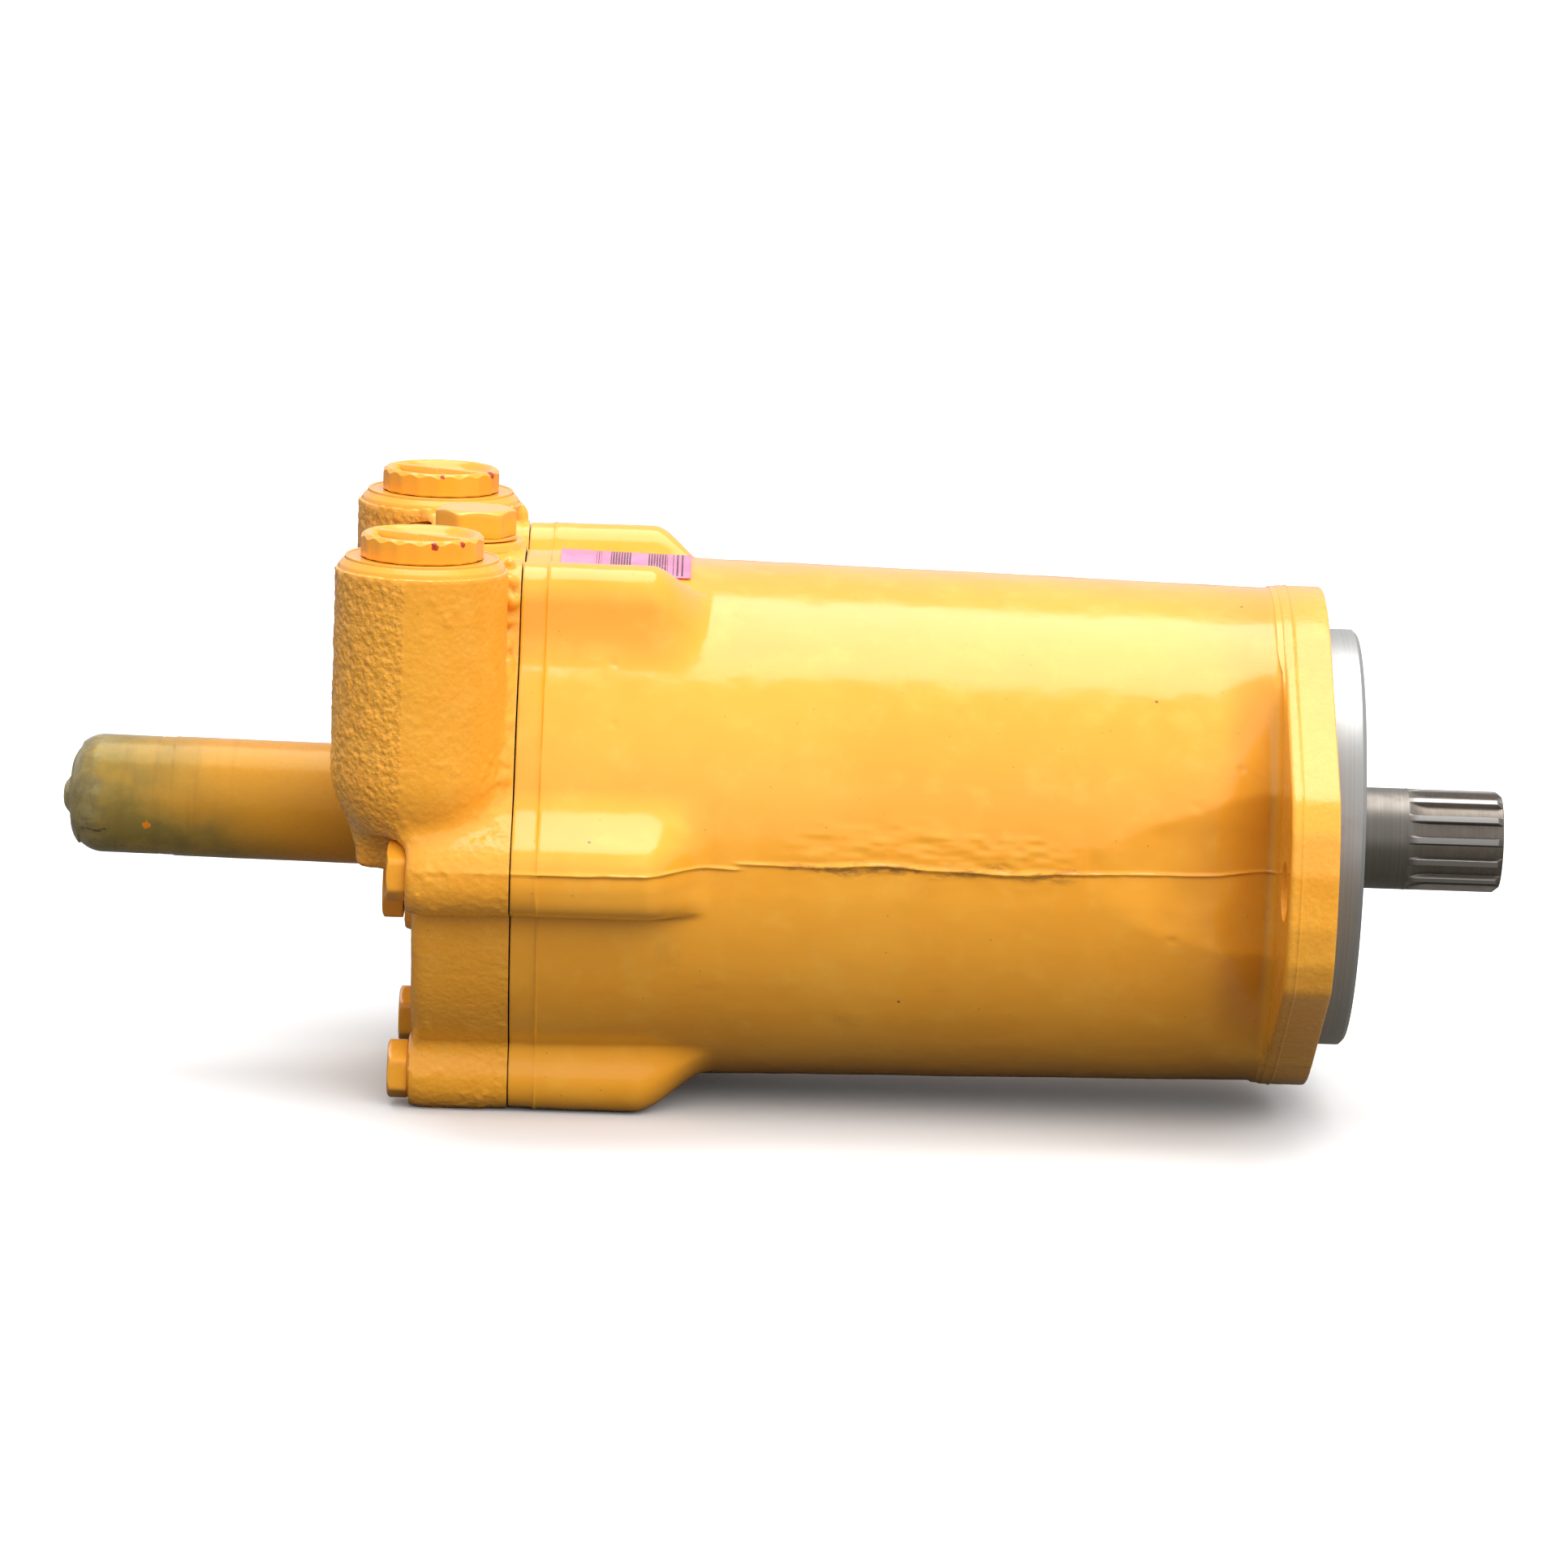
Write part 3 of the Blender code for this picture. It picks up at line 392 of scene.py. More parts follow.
# ---- mesh helpers --------------------------------------------------------------------
def make(name, verts, faces, mats, body, replaces=(), angle=32.0, ride=True):
    """An object from millimetre vertices in the flange frame."""
    v = np.asarray(verts, np.float64) * MM
    v[:, 0] += FX
    mesh = bpy.data.meshes.new(name)
    mesh.from_pydata(v.tolist(), [], [list(map(int, f)) for f in faces])
    mesh.validate()
    bm = bmesh.new()
    bm.from_mesh(mesh)
    bmesh.ops.remove_doubles(bm, verts=bm.verts, dist=1e-7)
    bmesh.ops.recalc_face_normals(bm, faces=bm.faces)
    bm.to_mesh(mesh)
    bm.free()
    for m in mats if isinstance(mats, (list, tuple)) else [mats]:
        mesh.materials.append(m)
    obj = bpy.data.objects.new(name, mesh)
    bpy.context.scene.collection.objects.link(obj)
    shade(obj, angle)
    if ride:
        finish(obj, body, replaces)
    return obj


def shade(obj, angle):
    obj.data.polygons.foreach_set("use_smooth", np.ones(len(obj.data.polygons), bool))
    obj.data.set_sharp_from_angle(angle=math.radians(angle))
    obj.data.update()


def finish(obj, body, replaces=()):
    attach(obj, body)
    if replaces:
        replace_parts(obj, *replaces)
    return obj


def grid(rows, wrap_rows=False, cap_start=False, cap_end=False):
    """Vertices and faces of rows of points, each row a closed loop. rows is (J, N, 3)."""
    rows = np.asarray(rows, np.float64)
    j, n = rows.shape[:2]
    verts = rows.reshape(-1, 3)
    a = np.arange(j if wrap_rows else j - 1)[:, None]
    c = np.arange(n)[None, :]
    b = (a + 1) % j
    d = (c + 1) % n
    faces = np.stack([a * n + c + 0 * d, a * n + d, b * n + d, b * n + c + 0 * d], -1).reshape(-1, 4).tolist()
    if cap_start:
        faces.append(list(range(n))[::-1])
    if cap_end:
        faces.append([(j - 1) * n + k for k in range(n)])
    return verts, faces


def rounded(points, radii, n=5):
    """A polyline with its corners rounded; radii is one number or one per point."""
    pts = [Vector(p) for p in points]
    if not isinstance(radii, (list, tuple)):
        radii = [0.0] + [radii] * (len(pts) - 2) + [0.0]
    out = []
    for i, p in enumerate(pts):
        r = radii[i]
        if r <= 0 or i in (0, len(pts) - 1):
            out.append((p.x, p.y))
            continue
        a, b = pts[i - 1] - p, pts[i + 1] - p
        la, lb = a.length, b.length
        a.normalize()
        b.normalize()
        ang = a.angle(b)
        if ang > math.radians(176) or ang < 1e-3:
            out.append((p.x, p.y))
            continue
        t = min(r / math.tan(ang / 2), 0.48 * la, 0.48 * lb)
        s, e = p + a * t, p + b * t
        for k in range(n + 1):
            u = k / n
            q = s * (1 - u) ** 2 + p * 2 * u * (1 - u) + e * u * u
            out.append((q.x, q.y))
    return out


def lathe(profile, seg, axis="X", at=(0.0, 0.0, 0.0), wave=None, closed=False):
    """Vertices and faces of a profile of (along, radius) turned about an axis through at."""
    th = np.linspace(0, 2 * PI, seg, endpoint=False)
    pr = np.array(profile, float)
    if not closed:
        keep = [p for p in pr if p[1] > 1e-6]
        pr2 = np.array(keep)
    else:
        pr2 = pr
    h = np.repeat(pr2[:, 0:1], seg, 1)
    r = np.repeat(pr2[:, 1:2], seg, 1)
    if wave is not None:
        h, r = wave(h, r, np.repeat(th[None, :], len(pr2), 0))
    c, s = np.cos(th)[None, :], np.sin(th)[None, :]
    if axis == "X":
        rows = np.stack([h + at[0], r * c + at[1], r * s + at[2]], -1)
    else:
        rows = np.stack([r * c + at[0], r * s + at[1], h + at[2]], -1)
    return grid(rows, wrap_rows=closed, cap_start=not closed, cap_end=not closed)


def merge(*parts):
    verts, faces, n = [], [], 0
    for v, f in parts:
        verts.append(np.asarray(v, float))
        faces += [[i + n for i in q] for q in f]
        n += len(v)
    return np.concatenate(verts), faces


def tool(name, geo):
    o = make(name, geo[0], geo[1], [], None, ride=False)
    return o


def boolean(obj, other, op):
    """Applies one boolean and throws the tool away."""
    before = len(obj.data.polygons)
    for solver in ("MANIFOLD", "EXACT"):
        m = obj.modifiers.new("b", "BOOLEAN")
        m.operation = op
        m.object = other
        m.solver = solver
        dg = bpy.context.evaluated_depsgraph_get()
        dg.update()
        mesh = bpy.data.meshes.new_from_object(obj.evaluated_get(dg), depsgraph=dg)
        obj.modifiers.remove(m)
        changed = len(mesh.polygons) != before and len(mesh.polygons) > 100
        if changed:
            break
    old = obj.data
    obj.data = mesh
    bpy.data.meshes.remove(old)
    bpy.data.objects.remove(other, do_unlink=True)
    print("boolean", obj.name, op, solver, before, "->", len(mesh.polygons))
    return obj


def face_centres(obj):
    n = len(obj.data.polygons)
    c = np.empty(n * 3)
    obj.data.polygons.foreach_get("center", c)
    c = c.reshape(-1, 3) / MM
    c[:, 0] -= FX / MM
    nor = np.empty(n * 3)
    obj.data.polygons.foreach_get("normal", nor)
    return c, nor.reshape(-1, 3)


# ---- shared dimensions ---------------------------------------------------------------
SCREWS = ((-41.0, 71.8), (41.0, 71.8), (-83.0, -4.0), (83.0, -4.0), (-38.8, -73.4), (38.8, -73.4))
SCREW_BOSS_R = (11.0, 11.0, 12.3, 12.3, 10.8, 10.8)
PORT_X, PORT_Y, PORT_TOP = -271.1, 69.9, 87.6
QUICK = bool(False)

# ---- motor housing -------------------------------------------------------------------
n_th = 760
w = np.linspace(0, 2 * PI, 4000, endpoint=False)
dens = 1.0 + 1.3 * np.exp(-((np.minimum(np.abs(w - PI), 2 * PI - np.abs(w - PI))) / 0.16) ** 2) + 0.5 * np.exp(-((np.minimum(w, 2 * PI - w)) / 0.16) ** 2)
cum = np.concatenate([[0], np.cumsum(dens)])
TH = np.interp(np.arange(n_th) / n_th * cum[-1], cum, np.linspace(0, 2 * PI, 4001))
# TH is the angle from +Y towards +Z
CY, SZ = np.cos(TH), np.sin(TH)


def body_radius(x):
    """Outside radius of the housing casting at x for every angle in TH."""
    base = 79.6 + (75.3 - 79.6) * (x + 242.0) / 224.0
    r = np.full(n_th, base)
    for (y, z), br in zip(SCREWS, SCREW_BOSS_R):
        d, a = math.hypot(y, z), math.atan2(z, y)
        phi = np.angle(np.exp(1j * (TH - a)))
        side = np.abs(d * np.sin(phi))
        start, stop = (-204.0, -184.5) if z > 50 else ((-204.5, -179.0) if z < -50 else (-203.0, -182.5))
        signed = d * np.sin(phi) * (1.0 if y < 0 else -1.0)
        cut = 0.97 - (0.15 * sstep(-4.0, 6.0, signed) if z > 50 else (0.15 * sstep(7.0, -4.0, signed) if z > -50 else 0.05))
        rim = cut * br
        b = d * np.cos(phi) + np.sqrt(np.maximum(br * br - np.minimum(side, rim) ** 2, 0)) - cut / np.sqrt(1 - cut * cut) * np.maximum(side - rim, 0)
        b = np.where(np.cos(phi) > 0.5, b, 0)
        # signed runs down each side of the motor: the upper flanks fill in more than the lower ones
        if z > 50:
            k = 2.6 + 14.0 * sstep(-4.0, 6.0, signed)
        elif z > -50:
            k = 16.0 - 11.0 * sstep(-4.0, 7.0, signed)
        else:
            k = 8.0 - 4.0 * sstep(-4.0, 7.0, signed)
        both = smax(r, b, k)
        plain = np.maximum(r, b)
        hold = sstep(0.15, 0.85, side / br)
        full = plain + (both - plain) * hold
        # the end of each boss sinks evenly into the barrel
        r = r + (full - r) * (1.0 - float(sstep(start, stop, x)))
    # bolt pockets behind the two ears
    for s in (-1, 1):
        if x > -72.0:
            phi = TH - (PI if s < 0 else 0.0)
            phi = np.angle(np.exp(1j * phi))
            flat = 76.0 - max(0.0, x + 67.5) * math.tan(math.radians(6.3)) + 0.25 * vnoise(np.stack([np.full(n_th, x / 7.0), TH * 9.0, np.zeros(n_th)], -1), 5 + s)
            c = np.where(np.cos(phi) > 0.3, flat / np.maximum(np.cos(phi), 0.3), 200.0)
            # the casting draws in a little next to the flange, round each pocket
            neck = 5.4 * float(sstep(-36.0, -14.0, x)) * (1 - sstep(0.52, 0.95, np.abs(phi)))
            r = smin(r, np.where(np.cos(phi) > 0.3, c, 200.0), 0.45) - neck
    p = np.stack([np.full(n_th, x), base * CY, base * SZ], -1)
    # casting waviness, small lumps and a few nicks
    r = r + 0.16 * vnoise(p / 26.0, 11) + 0.07 * vnoise(p / 7.0, 12) + 0.018 * vnoise(p / 1.9, 13)
    # raised flash line round the rear band
    wob = 0.10 * vnoise(np.stack([TH * 5.0, np.zeros(n_th), np.full(n_th, 3.0)], -1), 21)
    ridge = 0.34 + 0.16 * vnoise(np.stack([TH * 16.0, np.zeros(n_th), np.full(n_th, 9.0)], -1), 22)
    r = r + ridge * np.exp(-((x + 234.1 - wob) / 0.34) ** 2)
    r = r - 0.30 * (1.0 if x < -234.1 else 0.0) * (1 - math.exp(-((x + 234.1) / 1.2) ** 2))
    # mould parting line on the two sides
    for s, seed in ((-1, 31), (1, 37)):
        z0 = 1.1 * float(vnoise(np.array([[x / 19.0, 0.3, seed]]), seed)[0]) + (-1.2 if x < -176.0 else 0.5)
        zz = base * SZ
        on = (CY * s > 0)
        ragged = float(sstep(-166.0, -150.0, x) * (1 - sstep(-88.0, -70.0, x)))
        nz = float(vnoise(np.array([[x / 2.1, 0.7, seed]]), seed + 1)[0])
        h = 0.58 + 0.22 * nz + ragged * (0.25 + 0.35 * abs(nz))
        wdt = 0.52 + 0.25 * ragged
        r = r + np.where(on, h * np.exp(-((zz - z0) / wdt) ** 2), 0)
        # the lower half of the mould sat a little inside the upper one
        slip = 0.70 * float(1 - sstep(-196.0, -176.0, x)) * float(sstep(-234.6, -233.9, x)) + 0.12
        r = r - np.where(on, slip * sstep(0.2, -0.5, zz - z0) * sstep(-11.0, -5.0, zz - z0), 0)
        lump = ragged * np.exp(-((zz - z0 - 5.0) / 7.5) ** 2)
        r = r + np.where(on, lump * (0.16 + 0.30 * vnoise(p / 1.7, seed + 2) + 0.22 * vnoise(p / 3.6, seed + 3)), 0)
    return r


NICKS = ((-214.0, -57.0, 56.0, 1.0, 0.6), (-213.5, -69.0, 40.0, 1.2, 0.6), (-27.0, -67.0, 32.0, 1.0, 0.6),
         (-120.0, -77.0, 8.0, 1.8, 0.5), (-40.5, -72.0, 21.0, 1.3, 0.5), (-46.0, -73.5, -19.5, 1.2, 0.5))


def dent(rows):
    """Presses a few small nicks into rows of points."""
    for nx, ny, nz, rad, depth in NICKS:
        d = np.sqrt((rows[..., 0] - nx) ** 2 + (rows[..., 1] - ny) ** 2 + (rows[..., 2] - nz) ** 2)
        push = depth * np.exp(-(d / rad) ** 2)
        rr = np.hypot(rows[..., 1], rows[..., 2])
        f = (rr - push) / np.maximum(rr, 1e-6)
        rows[..., 1] *= f
        rows[..., 2] *= f
    return rows


def ear_outline():
    """Radius of the flange's outside at every angle in TH: a disc with two long ears."""
    half = [(106.4, 0.0), (106.4, 8.0), (103.6, 20.0), (98.0, 29.0), (43.0, 63.3)]
    pts = half + [(-y, z) for y, z in reversed(half)] + [(-y, -z) for y, z in half[1:]] + [(y, -z) for y, z in reversed(half[1:])]
    out = np.full(n_th, 76.2)
    for i in range(len(pts)):
        (ay, az), (by, bz) = pts[i], pts[(i + 1) % len(pts)]
        if (ay, az) == (by, bz):
            continue
        ey, ez = by - ay, bz - az
        den = CY * ez - SZ * ey
        t = np.where(np.abs(den) > 1e-9, (ay * ez - az * ey) / np.where(np.abs(den) > 1e-9, den, 1), -1)
        q = np.where(np.abs(den) > 1e-9, (ay * SZ - az * CY) / np.where(np.abs(den) > 1e-9, den, 1), -1)
        hit = (t > 0) & (q >= -1e-9) & (q <= 1 + 1e-9)
        out = np.where(hit, np.maximum(out, t), out)
    wide = np.concatenate([out[-4:], out, out[:4]])
    k = np.array([1, 2, 4, 6, 7, 6, 4, 2, 1], float)
    return np.convolve(wide, k / k.sum(), "valid")


def loops():
    rows = []
    xs = np.concatenate([[-242.0, -241.85, -241.5, -241.0], np.arange(-240.4, -235.2, 0.85), np.arange(-235.1, -233.0, 0.2), np.arange(-232.6, -178.0, 0.85), np.arange(-178.0, -75.0, 1.9), np.arange(-75.0, -18.0, 0.95), [-18.0]])
    for i, x in enumerate(xs):
        r = body_radius(x)
        if i < 2:
            r = r - (0.55, 0.2)[i]
        rows.append((np.full(n_th, x), r))
    r0 = rows[-1][1]
    rf = ear_outline()
    room = rf - r0
    ell = np.minimum(3.6, 0.55 * room)
    for k in range(1, 7):
        a = k / 6 * PI / 2
        rows.append((-18.0 + np.minimum(3.0, 0.8 * room + 1.2) * math.sin(a), r0 + ell * (1 - math.cos(a))))
    xb = rows[-1][0]
    e = np.minimum(1.1, 0.35 * room)
    for u in np.linspace(0.1, 1, 12):
        rr = r0 + ell + (rf - e - r0 - ell) * u
        p = np.stack([np.zeros(n_th), rr * CY, rr * SZ], -1)
        rows.append((xb + (-14.2 - xb) * u ** 2.0 + 0.05 * vnoise(p / 3.0, 51), rr))
    for k in (1, 2, 3, 4):
        a = k / 4 * PI / 2
        rows.append((-14.2 + 1.3 * (1 - math.cos(a)) + np.zeros(n_th), rf - e * (1 - math.sin(a))))
    for x in np.concatenate([[-12.6, -12.0], np.arange(-11.6, -10.0, 0.25), np.linspace(-9.4, -0.9, 9)]):
        p = np.stack([np.full(n_th, x), rf * CY, rf * SZ], -1)
        fl = 0.30 * math.exp(-((x + 10.9) / 0.3) ** 2)
        rows.append((np.full(n_th, x), rf + 0.03 * vnoise(p / 2.6, 52) + 0.06 * vnoise(p / 11.0, 53) + fl))
    rows.append((np.full(n_th, -0.35), rf - 0.12))
    rows.append((np.full(n_th, -0.05), rf - 0.45))
    for u in np.linspace(0.0, 1.0, 9):
        rows.append((np.zeros(n_th), (rf - 0.9) * (1 - u) + 65.3 * u))
    for x, r in ((-0.45, 64.9), (-0.5, 64.3), (-0.15, 63.75), (0.3, 63.5), (1.2, 63.5), (3.0, 63.5), (5.5, 63.5), (8.0, 63.5), (9.6, 63.5), (9.95, 63.44), (10.9, 62.5), (11.15, 62.2), (11.2, 61.8)):
        rows.append((np.full(n_th, x), np.full(n_th, r)))
    for r in (58.0, 52.0, 46.0, 40.0, 34.0, 29.0, 27.4):
        rows.append((np.full(n_th, 11.2), np.full(n_th, r)))
    for x, r in ((10.9, 26.7), (10.3, 26.3), (9.22, 26.3), (9.2, 28.0), (7.0, 28.0), (6.98, 26.3), (2.0, 26.3), (-2.0, 26.3), (-2.0, 24.0), (-8.0, 24.0), (-8.0, 36.3),
                 (-33.0, 36.3), (-33.0, 66.0), (-60.0, 66.0), (-120.0, 66.0), (-180.0, 66.0), (-242.0, 66.0)):
        rows.append((np.full(n_th, x), np.full(n_th, r)))
    rows.append((np.full(n_th, -242.0), np.full(n_th, 72.0)))
    arr = np.stack([np.stack([x + 0 * TH, r * CY, r * SZ], -1) for x, r in rows])
    return dent(arr)


paint_house = paint_mat("housing_gloss_paint", cast=0.0, gloss=0.17, grime_and_crease_shade=0.75, flash=True)
paint_rim = paint_mat("flange_rim_paint", cast=0.35, gloss=0.22, grime_and_crease_shade=0.6)
pilot_metal = metal_mat("pilot_machined_steel", (0.61, 0.60, 0.58), 0.42, True, 0.14, (0.24, 0.21, 0.17))
cavity_iron = iron_mat("cavity_cast_iron")

hv, hf = grid(loops(), wrap_rows=True)
housing = make("housing_casting", hv, hf, [paint_house, paint_rim, pilot_metal, cavity_iron], None, ride=False)
holes = [lathe([(-30.0, 8.75), (-0.9, 8.75), (0.5, 9.9), (3.0, 9.9)], 48, "X", (0, s * 90.5, 0)) for s in (-1, 1)]
holes += [lathe([(-245.0, 5.4), (-210.0, 5.4), (-207.5, 0.4)], 24, "X", (0, y, z)) for y, z in SCREWS]
holes.append(lathe([(-36.0, 3.4), (-25.0, 3.4)], 16, "X", (0, 0, 52.0)))
boolean(housing, tool("housing_drills", merge(*holes)), "DIFFERENCE")
fc, fn = face_centres(housing)
rad = np.hypot(fc[:, 1], fc[:, 2])
idx = np.zeros(len(fc), np.int32)
idx[(fc[:, 0] > -13.8) & (rad > 64)] = 1
idx[(fc[:, 0] > -0.6) & (rad < 65.4)] = 2
ear = np.hypot(np.abs(fc[:, 1]) - 90.5, fc[:, 2])
idx[(ear < 10.1) & (fc[:, 0] > -20) & (np.abs(fn[:, 0]) < 0.9)] = 1
idx[(rad < 66.5) & (fc[:, 0] < -1.0) & ((fc[:, 0] < -32.8) | (rad < 60.0))] = 3
idx[(fc[:, 0] < -241.9) & (fn[:, 0] < -0.9)] = 2
housing.data.polygons.foreach_set("material_index", idx)
shade(housing, 30.0)
finish(housing, "motor_case", ("motor_housing",))


# ---- end cap casting -----------------------------------------------------------------
H = 0.72
gx = np.arange(-301.0, -238.0, H, dtype=np.float32)
gy = np.arange(-98.0, 98.0 + H, H, dtype=np.float32)
gz = np.arange(-88.0, 92.0, H, dtype=np.float32)
X, Y, Z = np.meshgrid(gx, gy, gz, indexing="ij", sparse=True)


def s_cyl_x(cy, cz, r, x0, x1, k=1.5):
    a = np.hypot(Y - cy, Z - cz) - r
    return smax(a, np.maximum(x0 - X, X - x1), k)


def s_cyl_z(cx, cy, r, z0, z1, k=1.5):
    a = np.hypot(X - cx, Y - cy) - r
    return smax(a, np.maximum(z0 - Z, Z - z1), k)


joint_r = body_radius(-239.0) + 0.35
turn_at = np.arctan2(Z, Y) % (2 * PI)
rim_r = np.interp(turn_at, TH, joint_r, period=2 * PI)
slope = np.interp(turn_at, TH, np.gradient(joint_r, TH), period=2 * PI) / rim_r
outline = (np.hypot(Y, Z) - rim_r) / np.sqrt(1 + np.minimum(slope * slope, 4.0))
body = smax(outline, -271.4 - X, 5.0)
for (y, z), r in zip(SCREWS, SCREW_BOSS_R):
    body = smin(body, s_cyl_x(y, z, r - 0.6, -272.6, -250.0, 2.0), 3.0)
for s in (-1, 1):
    ax = np.hypot(X - PORT_X, Y - s * PORT_Y)
    col = np.maximum(ax - 25.5, Z - 84.5)
    ball = np.sqrt(ax * ax + (Z - 25.4) ** 2) - 25.5
    col = np.where(Z < 25.4, ball, col)
    body = smin(body, col, 7.0)
    # the gallery web from the port down to the middle
    bx = np.abs(X + 276.5) - 9.0
    by = np.abs(Y - s * 32.0) - 34.0
    bz = np.abs(Z - 19.0) - 22.5
    web = np.sqrt(np.maximum(bx, 0) ** 2 + np.maximum(by, 0) ** 2 + np.maximum(bz, 0) ** 2) + np.minimum(np.maximum(bx, np.maximum(by, bz)), 0) - 3.0
    body = smin(body, web, 9.0)
body = smin(body, s_cyl_x(0, 0, 23.0, -277.5, -262.0, 3.0), 3.0)
body = smin(body, s_cyl_x(0, 0, 18.3, -286.3, -262.0, 0.4), 1.4)
# a little spike of flash on the joint, over the far upper screw
for k in range(7):
    t = k / 6.0
    body = smin(body, np.sqrt((X + 244.4 + 0.5 * t) ** 2 + (Y - 41.0) ** 2 + (Z - 82.3 - 5.4 * t) ** 2) - (1.5 - 0.8 * t + 0.5 * math.sin(PI * t)), 0.8)
body = smin(body, s_cyl_z(-258.2, 0, 15.2, 60.0, 81.8, 1.5), 5.0)
body = smin(body, s_cyl_x(-36.0, -18.5, 12.0, -274.6, -262.0, 1.2), 3.0)
# lumps of flash next to the joint, under the near port
rng = np.random.RandomState(7)
for k in range(26):
    t = k / 25.0
    turn = math.radians(120.0 + 44.0 * t + rng.uniform(-1.4, 1.4))
    lift = float(np.interp(turn, TH, joint_r)) + rng.uniform(0.1, 1.2)
    yy, z = lift * math.cos(turn), lift * math.sin(turn)
    rr = rng.uniform(0.8, 2.3)
    body = smin(body, np.sqrt((X + 245.6 + rng.uniform(-1.0, 1.0)) ** 2 + (Y - yy) ** 2 + (Z - z) ** 2) - rr, 1.6)
body = np.ascontiguousarray(np.broadcast_to(body, (len(gx), len(gy), len(gz))).astype(np.float32))
near = np.abs(body) < 2.6
ii, jj, kk = np.nonzero(near)
pp = np.stack([gx[ii], gy[jj], gz[kk]], -1)
# rough sand texture on the rear, calmer towards the joint and on the right of the port
ax = np.minimum(np.hypot(pp[:, 0] - PORT_X, pp[:, 1] - PORT_Y), np.hypot(pp[:, 0] - PORT_X, pp[:, 1] + PORT_Y))
coarse = 1 - sstep(-277.0, -270.0, pp[:, 0]) * 0.72
on_port = 1 - sstep(25.0, 27.5, ax)
rear = 1 - sstep(-275.8, -274.6, pp[:, 0])
lumps = sstep(0.30, 0.75, vnoise(pp / 2.3, 83)) * sstep(0.0, 0.35, vnoise(pp / 12.0, 84))
low = 1 - sstep(20.0, 42.0, pp[:, 2])
amp = on_port * (0.04 + (0.20 - 0.08 * low) * rear) + (1 - on_port) * (0.10 + 0.06 * rear)
disp = amp * (1.3 * vnoise(pp / 1.45, 61) + 0.6 * vnoise(pp / 2.7, 71)) - 0.34 * lumps * (1 - rear) + 0.16 * vnoise(pp / 15.0, 81)
body[ii, jj, kk] += disp.astype(np.float32)
vol = openvdb.FloatGrid(background=3.0)
vol.copyFromArray(np.clip(body / H, -3, 3))
pts, tris, quads = vol.convertToPolygons(isovalue=0.0, adaptivity=0.0)
pts = np.asarray(pts, float) * H + np.array([gx[0], gy[0], gz[0]])
faces = [list(map(int, f)) for f in tris] + [list(map(int, f)) for f in quads]
print("end cap cast faces", len(faces))

paint_cap = paint_mat(
    "end_cap_cast_paint", cast=0.85, gloss=0.25, grime_and_crease_shade=0.85,
    # rough behind the port's middle line, calmer in front of it, and smooth on the turned collars
    pebble=lambda g: g.math("MULTIPLY", g.ramp(g.xyz()[0], FX - 0.2758, FX - 0.2745, 1.0, 0.22), g.ramp(g.xyz()[2], 0.0840, 0.0815, 0.06, 1.0)),
)
machined = metal_mat("cap_machined_steel", (0.50, 0.49, 0.47), 0.34, False, 0.3, (0.12, 0.10, 0.08))
cap = make("end_cap_casting", pts, faces, [paint_cap, machined, cavity_iron], None, ride=False)


def block(lo, hi):
    (x0, y0, z0), (x1, y1, z1) = lo, hi
    v = [(x, y, z) for x in (x0, x1) for y in (y0, y1) for z in (z0, z1)]
    f = [(0, 1, 3, 2), (4, 6, 7, 5), (0, 4, 5, 1), (2, 3, 7, 6), (0, 2, 6, 4), (1, 5, 7, 3)]
    return np.array(v, float), [list(q) for q in f]


boolean(cap, tool("cap_face", block((-242.3, -130, -130), (-200, 130, 130))), "DIFFERENCE")
adds = [lathe(rounded([(-246.0, 0.0), (-246.0, 62.0), (-241.4, 62.0), (-241.4, 61.0), (-237.6, 61.0), (-237.6, 62.0), (-223.3, 62.0), (-222.3, 61.0), (-222.3, 0.0)], 0.15, 2), 160, "X")]
for s in (-1, 1):
    collar = rounded([(74.0, 0.0), (74.0, 24.9), (82.6, 25.35), (85.6, 24.3), (87.0, 22.95), (87.2, 22.75), (87.95, 22.65), (87.95, 21.9), (87.6, 21.6), (87.6, 0.0)],
                     [0, 0.2, 3.0, 1.6, 0.25, 0.2, 0.25, 0.25, 0.1, 0], 5)
    adds.append(lathe(collar, 180, "Z", (PORT_X, s * PORT_Y, 0)))
adds.append(lathe(rounded([(72.0, 0.0), (72.0, 14.9), (81.0, 15.4), (83.3, 14.7), (83.3, 0.0)], [0, 0.2, 1.2, 0.5, 0], 4), 120, "Z", (-257.7, 0, 0)))
boolean(cap, tool("cap_adds", merge(*adds)), "UNION")


def thread_wave(r_outer, depth, pitch, lo, hi, inner=False):
    def wave(h, r, t):
        mask = (h > lo) & (h < hi) & (np.abs(r - r_outer) < 0.05)
        ph = (h / pitch - t / (2 * PI)) % 1.0
        tri = np.abs(ph - 0.5) * 2.0
        fade = np.clip((h - lo) / (0.7 * pitch), 0, 1) * np.clip((hi - h) / (0.7 * pitch), 0, 1)
        return h, np.where(mask, r + (1 if inner else -1) * depth * np.clip(tri * 1.25 - 0.1, 0, 1) * fade, r)
    return wave


